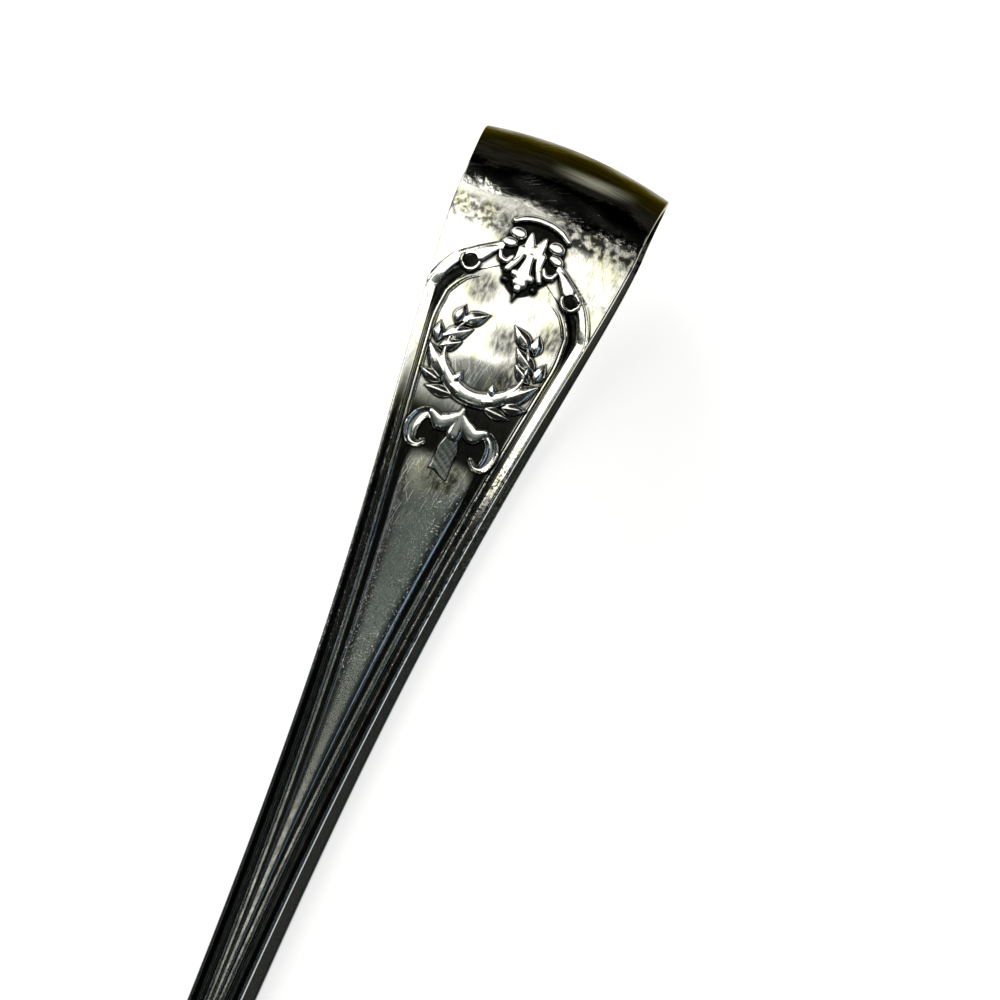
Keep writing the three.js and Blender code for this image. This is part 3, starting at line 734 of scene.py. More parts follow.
def leaf_relief(y, s):
    """Acanthus leaf: a rolled lip over a lobed middle, with rounded lobes and curls to both sides."""
    high = bpy.context.scene.tongs_ornament.leaf_height
    y = np.abs(y)
    lip = curve((-0.3, 0.95), (0.7, 1.0), (1.6, 1.25), (2.4, 1.75))
    lip = branch(y, s, lip, (0.7, 0.72, 0.74, 0.55), high, 0.9)
    upper_lobe = lump(y, s, (1.7, 2.66), (0.82, 0.62), high, wall=0.9)
    lower_lobe = lump(y, s, (2.08, 3.66), (0.76, 0.52), 0.9 * high, turn=0.2, wall=0.9)
    middle = merge(
        branch(y, s, curve((0.62, 2.4), (0.5, 3.0), (0.4, 3.6)), (0.5, 1.0, 1.3), 0.95 * high, 0.92),
        lump(y, s, (0.0, 3.8), (1.35, 0.85), 0.95 * high, wall=0.92),
        branch(y, s, curve((0.85, 3.9), (0.98, 4.9), (1.42, 5.85)), (1.0, 0.66, 0.62), 0.95 * high, 0.9),
        branch(y, s, curve((0.0, 4.2), (0.0, 5.2), (0.0, 6.0)), (0.75, 1.15, 1.7), high, 0.9),
        lump(y, s, (0.62, 5.98), (0.5, 0.44), 0.97 * high, wall=0.9),
        lump(y, s, (0.0, 6.62), (0.78, 0.55), high, wall=0.9),
        lump(y, s, (0.0, 7.1), (0.42, 0.42), high, wall=0.9),
    )
    curl = curve((1.4, 4.75), (1.75, 5.25), (2.25, 5.15), (2.5, 4.7))
    curl = branch(y, s, curl, (0.4, 0.62, 0.6, 0.4), 0.8 * high, 0.8)
    ball = lump(y, s, (1.24, 6.66), (0.36, 0.38), 0.5 * high, wall=0.2)
    point = branch(y, s, curve((0.0, 7.2), (0.0, 8.15)), (0.85, 0.1), 0.4 * high, 0.2)
    rise, shade_and_tarnish, gap = gather(lip, upper_lobe, lower_lobe, middle, curl, ball, point)
    # The ball and the point are painted black as shade.
    low = np.maximum(ball[0], point[0])
    return rise, np.maximum(shade_and_tarnish, 0.9 * on_top(low, rise)), gap


def volute_parts(y, s):
    """A horn from the leaf to the volute, and the volute's lip round the lower half of its hole."""
    o = bpy.context.scene.tongs_ornament
    horn = curve((2.75, 4.45), (3.4, 5.0), (4.0, 5.6))
    horn = branch(y, s, horn, (0.6, 1.0, 1.3), 0.95 * o.scroll_height, 0.88)
    turn = np.linspace(math.radians(-25), math.radians(190), 30)
    lip = np.stack((np.cos(turn), np.sin(turn)), axis=1) * 0.76 * MM + (o.volute_y, o.volute_s)
    return horn, branch(y, s, lip, (0.3, 0.46, 0.46, 0.42, 0.3), o.scroll_height, 0.75)


def volute_relief(y, s):
    return gather(*volute_parts(y, s))


def scroll_relief(y, s):
    """C-scroll: horn and volute, under a crest that runs down into the rim."""
    o = bpy.context.scene.tongs_ornament
    strip = Strip()
    arch = strip.arch()
    way = np.gradient(arch, axis=0)
    inward = np.stack((-way[:, 1], way[:, 0]), axis=1) / np.linalg.norm(way, axis=1)[:, None]
    half = strip.border.rim_width / 2
    gap, part = distance_to(y, s, arch + half * inward)
    high = o.scroll_height * (1.0 - 1.06 * np.clip(part, 0.0, 1.0))
    level = strip.rim_fall(y, s) * (1.0 - smooth(part, 0.7, 1.0))
    r = gap / half
    crest = high + level - np.maximum(high, 0.05 * MM) * (0.08 * r ** 2 + 0.92 * r ** 10)
    rise, shade_and_tarnish, outside = gather((crest, gap - half), *volute_parts(y, s))
    sunk = smooth(part, 0.55, 0.85) * on_top(crest, rise, 0.01 * MM)
    hole = np.hypot(y - o.volute_y, s - o.volute_s) < 0.58 * MM
    return np.where(hole, -o.scroll_height, rise), shade_and_tarnish * (1.0 - sunk), outside


def spray_relief(y, s):
    """Half of the laurel wreath: a thick garland that thins out upwards, with leaves along both sides."""
    o = bpy.context.scene.tongs_ornament
    turn = np.linspace(0.0, math.pi - o.wreath_opening, 40)
    stem = np.stack((np.sin(turn), np.cos(turn)), axis=1) * o.wreath_ring + (0.0, o.wreath_s)
    garland = branch(y, s, stem, (1.6, 1.65, 1.25, 0.5, 0.38, 0.34, 0.3), 0.9 * o.laurel_height)
    leaves = (
        ((3.15, 11.45), (1.05, 9.95), 1.4),
        ((3.55, 11.75), (3.3, 9.85), 1.2),
        ((4.15, 13.2), (1.9, 11.6), 1.5),
        ((4.35, 13.8), (4.7, 11.9), 1.1),
        ((4.05, 14.05), (2.35, 12.95), 1.25),
        ((2.2, 16.5), (4.95, 13.9), 1.75),
        ((2.7, 16.75), (4.8, 16.2), 1.15),
        ((1.3, 17.35), (3.85, 17.45), 1.15),
        ((1.75, 16.5), (1.35, 15.2), 1.0),
        ((0.5, 17.2), (2.6, 16.3), 1.5),
    )
    leaves = [
        pointed(y, s, drawn(foot), drawn(tip), width * MM, o.laurel_height) for foot, tip, width in leaves
    ]
    return gather(garland, *leaves)


def ribbon_relief(y, s):
    """Ribbon bow: a knot under the wreath, two loops that curl in, and a worn tail."""
    o = bpy.context.scene.tongs_ornament
    high = o.ribbon_height
    side, y = y, np.abs(y)
    s = s - o.knot_s
    lobe = curve((0.1, 0.25), (0.8, 1.0), (1.55, 1.35), (2.35, 0.85))
    knot = curve((0.0, -0.3), (0.0, 0.8), (0.0, 1.9))
    near = merge(
        branch(y, s, lobe, (0.8, 1.5, 1.7, 0.8), high, 0.72),
        branch(y, s, knot, (0.5, 1.3, 1.5), 1.05 * high, 0.6),
    )
    loop = curve((1.9, 1.35), (2.55, 0.98), (3.2, 1.5), (3.48, 2.55), (3.2, 3.55), (2.6, 3.75), (2.15, 3.4))
    swell = high * np.array((0.9, 0.95, 0.9, 0.85, 0.95, 1.1))
    loop = band(y, s, loop, (0.8, 1.0, 1.3, 1.4, 1.1, 0.75, 0.65), swell)
    down = s / o.ribbon_length
    half = mix(0.5, 0.9, smooth(down, 0.2, 0.65)) * MM + 0.04 * MM * np.sin(s / (0.4 * MM))
    end = 1.0 - 0.08 * smooth(side, -0.6 * MM, 0.5 * MM)
    inside = np.minimum(half - y, np.minimum(end - down, down) * o.ribbon_length)
    rubbed = np.sin(side / (0.08 * MM) + s / (0.5 * MM)) * np.sin(s / (0.12 * MM) - side / (0.19 * MM))
    worn = mix(1.0, 0.4, np.clip(down, 0.0, 1.0)) * (1.0 - 0.2 * (y / half) ** 2) + 0.014 * rubbed
    tail = high * np.minimum(worn, inside / (0.25 * MM)), -2.0 * inside
    rise, shade_and_tarnish, gap = gather(near, loop, tail)
    # Darker down the tail.
    darker_tail = 0.4 * smooth(down, 0.25, 0.5) * on_top(tail[0], rise)
    return rise, np.maximum(shade_and_tarnish, darker_tail), gap


def round_bar(route, steps, sides, radius):
    """Rings of a round bar along a route, which swells and narrows with the share of the way."""
    t = np.linspace(0.0, 1.0, steps)
    centre = route(t)
    way = np.gradient(centre, axis=0)
    way /= np.linalg.norm(way, axis=1)[:, None]
    across = np.cross(way, (1.0, 0.0, 0.0))
    across /= np.linalg.norm(across, axis=1)[:, None]
    beside = np.cross(way, across)
    turn = np.linspace(0.0, 2 * math.pi, sides, endpoint=False)
    ring = across[:, None] * np.cos(turn)[None, :, None] + beside[:, None] * np.sin(turn)[None, :, None]
    return centre[:, None] + ring * radius(t)[:, None, None]


def cubic(*points):
    a, b, c, d = (np.array(point) for point in points)

    def at(t):
        t = t[:, None]
        return a * (1 - t) ** 3 + 3 * b * t * (1 - t) ** 2 + 3 * c * t ** 2 * (1 - t) + d * t ** 3

    return at


def palm_rings(strip, wrist):
    c = bpy.context.scene.tongs_claw
    rings = []
    turn = np.linspace(0.0, 2 * math.pi, 48, endpoint=False)
    blunt = lambda v: np.sign(v) * np.abs(v) ** 0.6
    for t in np.linspace(0.0, 1.0, 16):
        part = smooth(t, 0.0, 1.0)
        half = mix(strip.half_width(wrist), c.palm_width / 2, part)
        deep = mix(strip.size.wrist_thickness, c.toe_thickness, part) / 2
        level = np.full_like(turn, wrist + c.palm_length * t)
        across, height = half * blunt(np.cos(turn)), deep * blunt(np.sin(turn)) - deep
        rings.append(np.stack((across, level, height), axis=-1))
    return np.array(rings)


def toe_rings(wrist, side):
    c = bpy.context.scene.tongs_claw
    thick = c.toe_thickness
    out = lambda part: side * mix(c.palm_width - thick, c.toe_spread, part) / 2
    far = wrist + c.claw_length - thick / 2 * abs(side)
    route = cubic(
        (out(0.0), wrist + c.palm_length * 0.7, -thick * 0.6),
        (out(0.6), mix(wrist + c.palm_length, far, 0.5), -thick * 0.5),
        (out(1.0), far + thick * 0.3, -thick * 0.8),
        (out(1.0), far - thick * 0.4, -c.curl_depth),
    )
    scales = lambda t: c.scale_swell * np.cos(t * math.pi * 24) * (1 - smooth(t, 0.4, 0.6))
    knuckle = lambda t: 1.0 - c.knuckle_swell * np.cos(t * math.pi * 4) - scales(t)
    end = lambda t: mix(1.0, 0.25, smooth(t, 0.93, 1.0))
    radius = lambda t: mix(thick / 2, c.talon_thickness / 2, smooth(t, 0.25, 1.0)) * knuckle(t) * end(t)
    return round_bar(route, steps=60, sides=20, radius=radius)


def claw(strip, side):
    """A palm and three toes, grown together as one casting."""
    wrist = strip.size.arm_length
    parts = [palm_rings(strip, wrist)] + [toe_rings(wrist, toe) for toe in (-1, 0, 1)]
    made = []
    for rings in parts:
        made.append(loft("claw_part", strip.bend(rings[..., 0], rings[..., 1], rings[..., 2], side)))
    whole = bmesh.new()
    for part in made:
        whole.from_mesh(part.data)
        bpy.data.objects.remove(part)
    rough = bpy.data.meshes.new("claw_rough")
    whole.to_mesh(rough)
    whole.free()
    form = bpy.data.objects.new("claw_form", rough)
    bpy.context.scene.collection.objects.link(form)
    grown = form.modifiers.new("grown", "REMESH")
    grown.mode = "VOXEL"
    grown.voxel_size = bpy.context.scene.tongs_claw.grain
    eased = form.modifiers.new("eased", "SMOOTH")
    eased.factor = 0.5
    eased.iterations = 4
    shaped = form.evaluated_get(bpy.context.evaluated_depsgraph_get())
    mesh = bpy.data.meshes.new_from_object(shaped)
    bpy.data.objects.remove(form)
    mesh.shade_smooth()
    piece = bpy.data.objects.new(f"{side}_claw_casting", mesh)
    mesh.name = piece.name
    bpy.context.scene.collection.objects.link(piece)
    return piece


# Finishes

class Nodes:
    """A node tree under construction: each method adds to it and gives its output."""

    def __init__(self, tree):
        self.tree = tree

    def node(self, kind, settings=(), **inputs):
        made = self.tree.nodes.new(kind)
        for key, value in dict(settings).items():
            setattr(made, key, value)
        for key, value in inputs.items():
            self.join(made.inputs[key.replace("_", " ")], value)
        return made

    def join(self, socket, value):
        if isinstance(value, bpy.types.NodeSocket):
            self.tree.links.new(value, socket)
        else:
            socket.default_value = value

    def math(self, operation, result, *others):
        """The first value, worked on with each of the others in turn."""
        for value in others or (0.0,):
            made = self.node("ShaderNodeMath", {"operation": operation})
            self.join(made.inputs[0], result)
            self.join(made.inputs[1], value)
            result = made.outputs[0]
        return result

    def most(self, *values):
        return self.math("MAXIMUM", *values)

    def times(self, *values):
        return self.math("MULTIPLY", *values)

    def between(self, value, low, high, first=0.0, last=1.0):
        """Runs from the first number to the last while the value goes from low to high."""
        settings = {"interpolation_type": "SMOOTHSTEP", "clamp": True}
        ends = {"From_Min": low, "From_Max": high, "To_Min": first, "To_Max": last}
        return self.node("ShaderNodeMapRange", settings, Value=value, **ends).outputs["Result"]

    def blend(self, part, a, b):
        made = self.node("ShaderNodeMix", {"data_type": "RGBA"}, Factor=part)
        self.join(made.inputs[6], a)
        self.join(made.inputs[7], b)
        return made.outputs[2]


class Finish(Nodes):
    """A silver finish under construction. Places and sizes are in millimetres."""

    def __init__(self, name):
        self.material = bpy.data.materials.new(name)
        self.material.use_nodes = True
        super().__init__(self.material.node_tree)
        self.shader = self.tree.nodes["Principled BSDF"]
        self.shader.inputs["Metallic"].default_value = 1.0
        place = self.node("ShaderNodeTexCoord").outputs
        self.position, self.facing = place["Object"], place["Normal"]
        self.x, self.y, self.z = self.node("ShaderNodeSeparateXYZ", Vector=self.position).outputs

    def along(self, start, end, first=0.0, last=1.0):
        """Runs from the first number to the last between two places along X."""
        return self.between(self.x, start * MM, end * MM, first, last)

    def across(self, start, end, first=0.0, last=1.0):
        """Runs from the first number to the last between two places along Y."""
        return self.between(self.y, start * MM, end * MM, first, last)

    def noise(self, size, detail, stretch=(1.0, 1.0, 1.0), turn=0.0):
        """Noise with features of this size, drawn out along X, Y or Z and turned about Z."""
        turned = self.node("ShaderNodeMapping", Vector=self.position, Rotation=(0.0, 0.0, turn))
        scale = [1.0 / (size * MM * part) for part in stretch]
        drawn_out = self.node("ShaderNodeMapping", Vector=turned.outputs["Vector"], Scale=scale)
        made = self.node("ShaderNodeTexNoise", Vector=drawn_out.outputs["Vector"], Scale=1.0, Detail=detail)
        return made.outputs["Fac"]

    def speckle(self, size, detail, low, high, first=0.0, last=1.0, **drawn_out):
        """Noise cut off at low and high, and spread from the first number to the last."""
        return self.between(self.noise(size, detail, **drawn_out), low, high, first, last)

    def uneven(self, roughness, least, most, size, detail):
        """This roughness, varied by noise from its least share to its most."""
        return self.speckle(size, detail, 0.3, 0.7, roughness * least, roughness * most)

    def hairlines(self, thickness, turn, cover, longer=70.0, soft=0.05):
        """Fine scratches, this much longer than thick, over a share of the surface."""
        low = 1.0 - cover
        return self.speckle(thickness, 1.0, low, low + soft, stretch=(longer, 1.0, longer), turn=turn)

    def recess(self, reach, low, high):
        """How deep a place lies among its neighbours, from ambient occlusion, for painting shade into
        recesses.
        """
        shade = self.node("ShaderNodeAmbientOcclusion", {"samples": 8}, Distance=reach * MM)
        return self.between(shade.outputs["AO"], high, low)

    def shade_and_tarnish(self):
        """Black painted on a piece as shade and tarnish, read from its mesh and broken up a little."""
        painted = self.node("ShaderNodeAttribute", {"attribute_name": "shade_and_tarnish"}).outputs["Fac"]
        return self.times(painted, self.speckle(size=0.5, detail=4.0, low=0.2, high=0.6, first=0.99))

    def inside(self):
        """Black painted as shade on the faces that look at the other arm."""
        up = self.node("ShaderNodeSeparateXYZ", Vector=self.facing).outputs["Z"]
        above = self.math("SUBTRACT", self.z, (CAD_LOW.z + CAD_HIGH.z) / 2)
        black = bpy.context.scene.tongs_finish.inside_shade
        return self.between(self.times(above, up), 0.0, -1.0 * MM, 0.0, black)

    def smudge(self, x, y, reach):
        """A soft round patch in plan, at this place."""
        flat = self.node("ShaderNodeVectorMath", {"operation": "MULTIPLY"}, Vector=self.position)
        flat.inputs[1].default_value = (1.0, 1.0, 0.0)
        away = self.node("ShaderNodeVectorMath", {"operation": "DISTANCE"}, Vector=flat.outputs["Vector"])
        away.inputs[1].default_value = (x * MM, y * MM, 0.0)
        return self.between(away.outputs["Value"], reach * MM, 0.35 * reach * MM)

    def stains(self):
        """Mottled tarnish on the neck, round the wreath and at the cushion's head."""
        near_neck = self.times(
            self.across(1.2, -1.8), self.along(45.2, 46.4), self.along(49.4, 48.4),
            self.speckle(size=0.7, detail=9.0, low=0.4, high=0.58, first=0.3, last=0.97),
        )
        far_neck = self.times(
            self.across(0.8, 2.2), self.along(44.2, 45.2), self.along(47.4, 46.6),
            self.speckle(size=0.45, detail=8.0, low=0.36, high=0.64, first=0.3, last=0.9),
        )
        # Along X, along Y, reach
        patches = (
            (45.6, 3.0, 1.8), (40.2, 2.7, 2.0), (36.8, -0.9, 1.9),
            (34.2, -2.4, 2.2), (38.4, -4.3, 1.8), (24.7, -0.5, 2.6),
        )
        patch = self.most(*(self.smudge(x, y, reach) for x, y, reach in patches))
        brushed = self.speckle(
            size=0.3, detail=6.0, low=0.3, high=0.7, first=0.45, last=0.93, stretch=(2.4, 1.0, 2.4)
        )
        return self.most(near_neck, far_neck, self.times(brushed, patch))

    def finish(self, colour, roughness, height, depth):
        """Sets the shader; the height is in units of this depth."""
        raised = self.node("ShaderNodeBump", Height=height, Distance=depth * MM, Strength=1.0)
        self.join(self.shader.inputs["Base Color"], colour)
        self.join(self.shader.inputs["Roughness"], roughness)
        self.join(self.shader.inputs["Normal"], raised.outputs["Normal"])
        return self.material


def rgba(colour):
    return (*colour, 1.0)


def polished_silver():
    """The bow: bright, handled silver, with tarnish mottle and stains, painted shade on its crown and inner
    face, and a painted highlight streak across the crown.
    """
    look = bpy.context.scene.tongs_finish
    made = Finish("worn_polished_silver")
    silver, toned, tarnish_and_shade_black, crown_shade = map(rgba, (look.silver, look.toned, look.tarnish_and_shade_black, look.crown_shade))
    mottle = made.speckle(
        size=1.6, detail=5.0, low=0.42, high=0.62, last=0.7, stretch=(1.0, 2.5, 1.0), turn=0.3
    )
    # Tarnish mottle and stains, with painted shade on the inner face.
    worn = made.blend(made.most(mottle, made.stains(), made.inside()), silver, tarnish_and_shade_black)
    streaks = made.noise(size=0.3, detail=3.0, stretch=(1.0, 16.0, 1.0))
    # Painted shade on the crown, in streaks.
    crown = made.blend(made.between(streaks, 0.3, 0.7), tarnish_and_shade_black, crown_shade)
    # A painted highlight streak across the crown.
    painted_crown_highlight = made.times(
        made.across(2.0, -2.0), made.across(-6.5, -2.5), made.along(52.4, 51.8), made.along(51.1, 51.6),
        made.between(streaks, 0.3, 0.6, 0.14, 0.26),
    )
    crown = made.blend(painted_crown_highlight, crown, toned)
    # Where the crown's painted shade lies.
    lower = made.between(made.math("ABSOLUTE", made.y), 3.0 * MM, 5.5 * MM, 0.0, 0.8 * MM)
    crown_shaded = made.between(made.math("ADD", made.x, lower), 49.4 * MM, 50.4 * MM)
    base = made.blend(crown_shaded, worn, crown)
    made.shader.inputs["Specular Tint"].default_value = rgba(look.grazing)
    lines = made.most(*(made.hairlines(thickness=0.035, turn=turn, cover=0.29) for turn in (0.5, 1.2)))
    dents = made.times(made.noise(size=5.0, detail=1.0), look.dent_depth)
    grain = made.speckle(size=0.5, detail=5.0, low=0.2, high=0.8)
    height = made.math("ADD", dents, made.math("SUBTRACT", grain, made.times(lines, 0.08)))
    rough = made.uneven(look.polish, least=0.7, most=1.5, size=0.9, detail=4.0)
    return made.finish(base, rough, height, depth=0.015)


def struck_silver():
    """The arms: satin silver, with black painted as shade in the recesses, on the inner faces and on the
    rims and field, darker towards the wrist, with pits on the near rim and stipple.
    """
    look = bpy.context.scene.tongs_finish
    made = Finish("worn_struck_silver")
    mottle = made.speckle(size=1.5, detail=6.0, low=0.55, high=0.75)
    mottle = made.times(mottle, made.along(22, 34, first=0.05, last=0.6))
    # Darker towards the wrist.
    shank = made.along(14, -2, last=look.shank_darkening)
    pits = made.speckle(size=0.28, detail=3.0, low=0.5, high=0.6, last=0.9)
    pits = made.times(pits, made.across(-2.8, -4.0), made.along(31, 26))
    # Painted shade in the recesses.
    deep = made.recess(reach=0.7, low=0.3, high=0.8)
    # Black over the silver: painted shade, darkening towards the wrist, tarnish mottle, stains and pits.
    dark = made.most(deep, mottle, made.stains(), shank, pits, made.shade_and_tarnish(), made.inside())
    toning = made.times(made.speckle(size=2.2, detail=3.0, low=0.45, high=0.65), made.along(18, 26))
    clean = made.blend(toning, rgba(look.silver), rgba(look.toned))
    base = made.blend(dark, clean, rgba(look.tarnish_and_shade_black))
    lines = made.most(
        made.hairlines(thickness=0.05, turn=0.15, cover=0.34),
        made.hairlines(thickness=0.05, turn=-0.5, cover=0.32),
    )
    lines = made.times(lines, made.along(16, 24, first=0.02, last=0.12))
    panel = made.times(made.along(4, 18), made.along(27, 22), made.across(-2.0, 1.5, first=0.1))
    stipple = made.speckle(size=0.2, detail=2.0, low=0.6, high=0.72)
    height = made.math("SUBTRACT", made.times(stipple, panel, look.stipple_height), lines)
    rough = made.uneven(look.satin, least=0.85, most=1.2, size=0.8, detail=4.0)
    return made.finish(base, rough, height, depth=0.03)


def cast_silver():
    """The castings: bright tops, worn soft, with black painted as shade in every recess and crease."""
    look = bpy.context.scene.tongs_finish
    made = Finish("worn_cast_silver")
    mottle = made.speckle(size=0.7, detail=5.0, low=0.55, high=0.75, last=0.35)
    # Painted shade in the recesses and creases, with tarnish mottle.
    dark = made.most(made.recess(reach=0.5, low=0.25, high=0.7), mottle, made.shade_and_tarnish())
    base = made.blend(dark, rgba(look.silver), rgba(look.tarnish_and_shade_black))
    rough = made.uneven(look.casting, least=0.75, most=1.4, size=0.5, detail=3.0)
    return made.finish(base, rough, made.noise(size=0.25, detail=4.0), depth=0.01)


def finish_of(name):
    """The material of this name, made when it is first asked for."""
    makers = {"polished_silver": polished_silver, "struck_silver": struck_silver, "cast_silver": cast_silver}
    return bpy.data.materials.get(f"worn_{name}") or makers[name]()


def dress(piece, finish, body, *nodes):
    """Gives a piece its finish, sets it on its body and lets it stand for its nodes."""
    piece.data.materials.append(finish_of(finish))
    if body:
        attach(piece, body)
    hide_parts(*nodes)


def cast_on_arms(relief, box, name, node, hands=MIDDLE):
    """Castings of this relief on both arms, drawn inside a flat box and turned for each hand."""
    for side in SIDES:
        for hand, turn in hands.items():
            piece = casting(f"{side}_{hand}{name}_casting", Strip(), side, turn, relief, *drawn(box))
            dress(piece, "cast_silver", f"{side}_arm", f"{side}_{hand}{node}")


# Operators

class TONGS_OT_bow(bpy.types.Operator):
    """Make the sprung bow, in two halves"""

    bl_idname = "tongs.bow"
    bl_label = "Bow"

    def execute(self, context):
        strip = Strip()
        for side in SIDES:
            piece = bow_half(strip, side)
            dress(piece, "polished_silver", None, "bow")
            end = Vector(strip.bend(0.0, 0.0, 0.0, side))
            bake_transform(piece)
        return {"FINISHED"}


class TONGS_OT_arms(bpy.types.Operator):
    """Make the two reeded arms"""

    bl_idname = "tongs.arms"
    bl_label = "Arms"

    def execute(self, context):
        for side in SIDES:
            dress(arm(Strip(), side), "struck_silver", f"{side}_arm", f"{side}_arm")
        return {"FINISHED"}


class TONGS_OT_leaves(bpy.types.Operator):
    """Make the acanthus leaf under each end of the bow"""

    bl_idname = "tongs.leaves"
    bl_label = "Acanthus Leaves"

    def execute(self, context):
        cast_on_arms(leaf_relief, ((-2.9, 0.4), (2.9, 8.4)), "leaf", "acanthus_leaf")
        return {"FINISHED"}


class TONGS_OT_scrolls(bpy.types.Operator):
    """Make the C-scrolls and their volutes"""

    bl_idname = "tongs.scrolls"
    bl_label = "Scrolls"

    def execute(self, context):
        cast_on_arms(scroll_relief, ((2.4, 3.6), (7.1, 11.6)), "scroll", "scroll", HANDS)
        return {"FINISHED"}


class TONGS_OT_sprays(bpy.types.Operator):
    """Make the laurel sprays, two to a wreath"""

    bl_idname = "tongs.sprays"
    bl_label = "Laurel Sprays"

    def execute(self, context):
        cast_on_arms(spray_relief, ((0.0, 8.8), (5.3, 18.2)), "spray", "laurel_spray", HANDS)
        return {"FINISHED"}


class TONGS_OT_ribbons(bpy.types.Operator):
    """Make the ribbon bow under each wreath"""

    bl_idname = "tongs.ribbons"
    bl_label = "Ribbon Bows"

    def execute(self, context):
        cast_on_arms(ribbon_relief, ((-4.3, 17.4), (4.3, 24.8)), "ribbon", "ribbon_bow")
        return {"FINISHED"}


class TONGS_OT_claws(bpy.types.Operator):
    """Make the claw grips"""

    bl_idname = "tongs.claws"
    bl_label = "Claws"

    def execute(self, context):
        for side in SIDES:
            dress(claw(Strip(), side), "cast_silver", f"{side}_arm", f"{side}_claw")
        return {"FINISHED"}


def table_finish(stage):
    """Pale table top that adds a little light for camera, mirror and glass rays, and keeps its shadows."""
    material = bpy.data.materials.new("table_top")
    material.use_nodes = True
    made = Nodes(material.node_tree)
    made.tree.nodes.clear()
    seen = made.node("ShaderNodeLightPath").outputs
    rays = made.most(*(seen[f"Is {kind} Ray"] for kind in ("Camera", "Glossy", "Transmission")))
    matt = made.node("ShaderNodeBsdfDiffuse", Color=rgba(stage.table_colour))
    glow = made.node("ShaderNodeEmission", Strength=made.times(rays, stage.table_lift))
    both = made.node("ShaderNodeAddShader")
    for socket, shader in zip(both.inputs, (matt, glow)):
        made.join(socket, shader.outputs[0])
    made.node("ShaderNodeOutputMaterial", Surface=both.outputs[0])
    return material


def room(stage):
    """A dim room, dark round the table and lighter overhead."""
    world = bpy.data.worlds.new("room")
    world.use_nodes = True
    made = Nodes(world.node_tree)
    way = made.node("ShaderNodeTexCoord").outputs["Generated"]
    rise = made.node("ShaderNodeSeparateXYZ", Vector=way).outputs["Z"]
    overhead = made.between(rise, math.sin(stage.ceiling_start), math.sin(stage.ceiling_full))
    tone = made.blend(overhead, rgba(stage.wall), rgba(stage.ceiling))
    made.join(made.tree.nodes["Background"].inputs["Color"], tone)
    return world


def lamp(name, size, watts, tint, over, azimuth, elevation, aim):
    """A lamp of this size in metres, in a direction in degrees from a place; azimuth 0 is past the bow."""
    turn, rise = math.radians(azimuth), math.radians(elevation)
    way = Vector((math.cos(rise) * math.cos(turn), math.cos(rise) * math.sin(turn), math.sin(rise)))
    place = over + bpy.context.scene.tongs_stage.lamp_distance * way
    light = bpy.data.lights.new(name, "AREA")
    light.shape = "RECTANGLE"
    light.size, light.size_y = size
    light.energy = watts
    light.color = tint
    holder = bpy.data.objects.new(name, light)
    holder.location = place
    holder.rotation_euler = (aim - place).to_track_quat("-Z", "Y").to_euler()
    holder.visible_camera = False
    bpy.context.scene.collection.objects.link(holder)


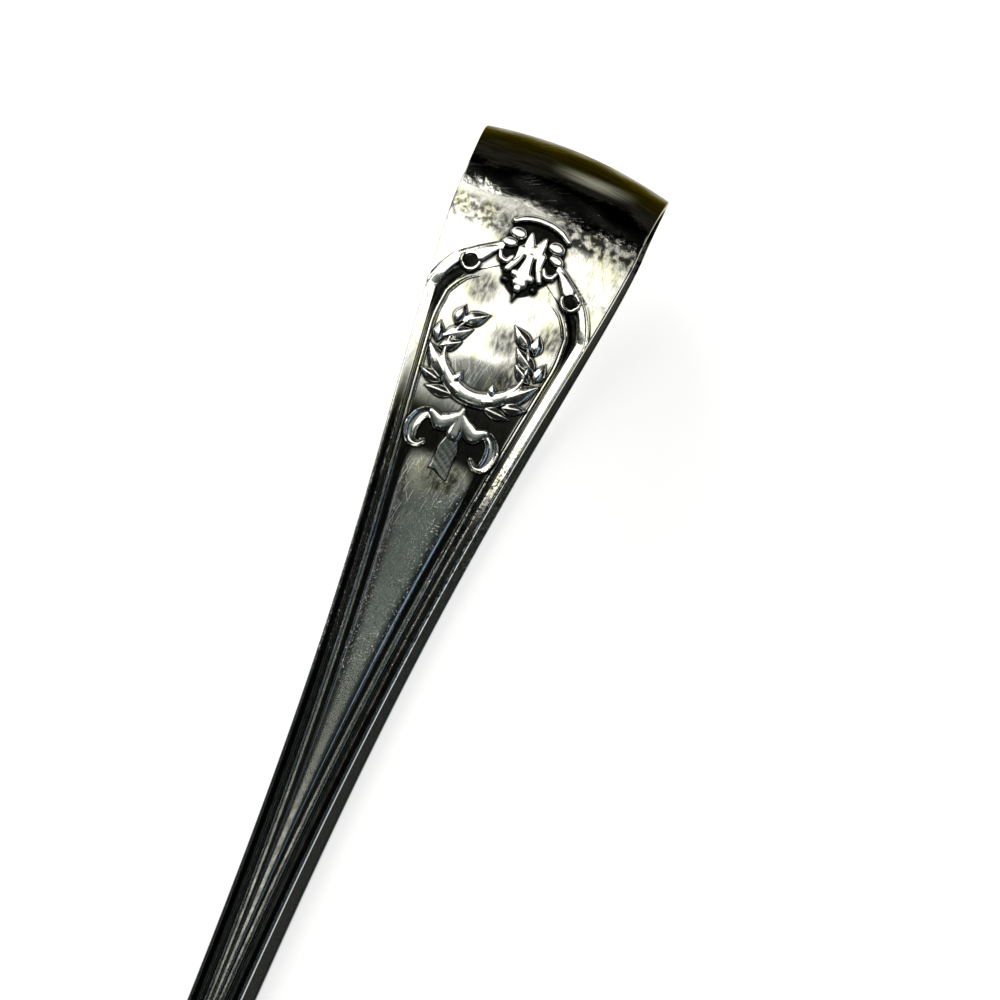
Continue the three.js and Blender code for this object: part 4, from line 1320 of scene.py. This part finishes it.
class TONGS_OT_stage(bpy.types.Operator):
    """Make the table, the lamps and the camera"""

    bl_idname = "tongs.stage"
    bl_label = "Stage"

    def execute(self, context):
        stage = context.scene.tongs_stage
        self.table(stage)
        self.lights(context.scene, stage)
        self.camera(context.scene, stage)
        return {"FINISHED"}

    def table(self, stage):
        top = bmesh.new()
        bmesh.ops.create_circle(top, cap_ends=True, segments=128, radius=stage.table_radius)
        mesh = bpy.data.meshes.new("table")
        top.to_mesh(mesh)
        top.free()
        mesh.materials.append(table_finish(stage))
        table = bpy.data.objects.new("table", mesh)
        table.location.z = CAD_LOW.z - stage.table_gap
        bpy.context.scene.collection.objects.link(table)

    def lights(self, scene, stage):
        scene.world = room(stage)
        bow = Vector((BOW_LOW.x, 0.0, CAD_HIGH.z))
        shank = Vector((-10 * MM, 0.0, CAD_HIGH.z))
        # Name, size, power, tint, the place it is set over, azimuth, elevation, aim
        lamps = (
            ("softbox", (0.49, 0.29), stage.softbox_power, (1.0, 0.99, 0.9), bow, 3, 60, bow),
            ("window", (0.4, 0.4), stage.window_power, (1.0, 0.99, 0.92), bow, 60, 36, bow),
            ("ceiling_lamp", (0.4, 0.13), stage.ceiling_power, (1.0, 1.0, 0.94), bow, 0, 83, bow),
            ("strip_lamp", (0.5, 0.06), stage.strip_power, (0.5, 0.72, 1.0), shank, -85, 38, bow),
            ("far_strip_lamp", (0.5, 0.03), stage.strip_power / 4, (0.6, 0.8, 1.0), shank, 95, 38, bow),
            ("warm_lamp", (0.04, 0.03), stage.warm_power, (1.0, 0.97, 0.86), shank, 167, 77.5, shank),
        )
        for settings in lamps:
            lamp(*settings)

    def camera(self, scene, stage):
        lens = bpy.data.cameras.new("camera")
        lens.lens = stage.lens
        lens.clip_start = 0.01
        camera = bpy.data.objects.new("camera", lens)
        aim = Vector((stage.camera_aim_x, -stage.camera_aim_y, CAD_HIGH.z))
        place = aim + Vector((stage.camera_ahead, -stage.camera_aside, stage.camera_distance))
        back = (place - aim).normalized()
        roll = stage.camera_roll
        up = Vector((math.cos(roll), math.sin(roll), 0.0))
        right = up.cross(back).normalized()
        turn = Matrix((right, back.cross(right), back)).transposed()
        camera.matrix_world = Matrix.Translation(place) @ turn.to_4x4()
        scene.collection.objects.link(camera)
        scene.camera = camera
        scene.view_settings.view_transform = "Standard"


class TONGS_PT_panel(bpy.types.Panel):
    """Lists what the tongs are made of"""

    bl_label = "Sugar Tongs"
    bl_idname = "TONGS_PT_panel"
    bl_space_type = "VIEW_3D"
    bl_region_type = "UI"
    bl_category = "Tongs"

    def draw(self, context):
        for group in SETTINGS:
            settings = getattr(context.scene, group)
            box = self.layout.box()
            box.label(text=settings.bl_rna.description)
            for name in settings.__annotations__:
                box.prop(settings, name)
        for operator in OPERATORS:
            self.layout.operator(operator.bl_idname)


SETTINGS = {
    "tongs_strip": TongsStrip,
    "tongs_border": TongsBorder,
    "tongs_ornament": TongsOrnament,
    "tongs_claw": TongsClaw,
    "tongs_finish": TongsFinish,
    "tongs_stage": TongsStage,
}
OPERATORS = (
    TONGS_OT_bow,
    TONGS_OT_arms,
    TONGS_OT_leaves,
    TONGS_OT_scrolls,
    TONGS_OT_sprays,
    TONGS_OT_ribbons,
    TONGS_OT_claws,
    TONGS_OT_stage,
)
CLASSES = (*SETTINGS.values(), *OPERATORS, TONGS_PT_panel)


def register():
    for made in CLASSES:
        bpy.utils.register_class(made)
    for name, group in SETTINGS.items():
        setattr(bpy.types.Scene, name, PointerProperty(type=group))


def unregister():
    for name in SETTINGS:
        delattr(bpy.types.Scene, name)
    for made in reversed(CLASSES):
        bpy.utils.unregister_class(made)


def main():
    register()
    for operator in OPERATORS:
        family, name = operator.bl_idname.split(".")
        getattr(getattr(bpy.ops, family), name)()


if __name__ == "__main__":
    main()
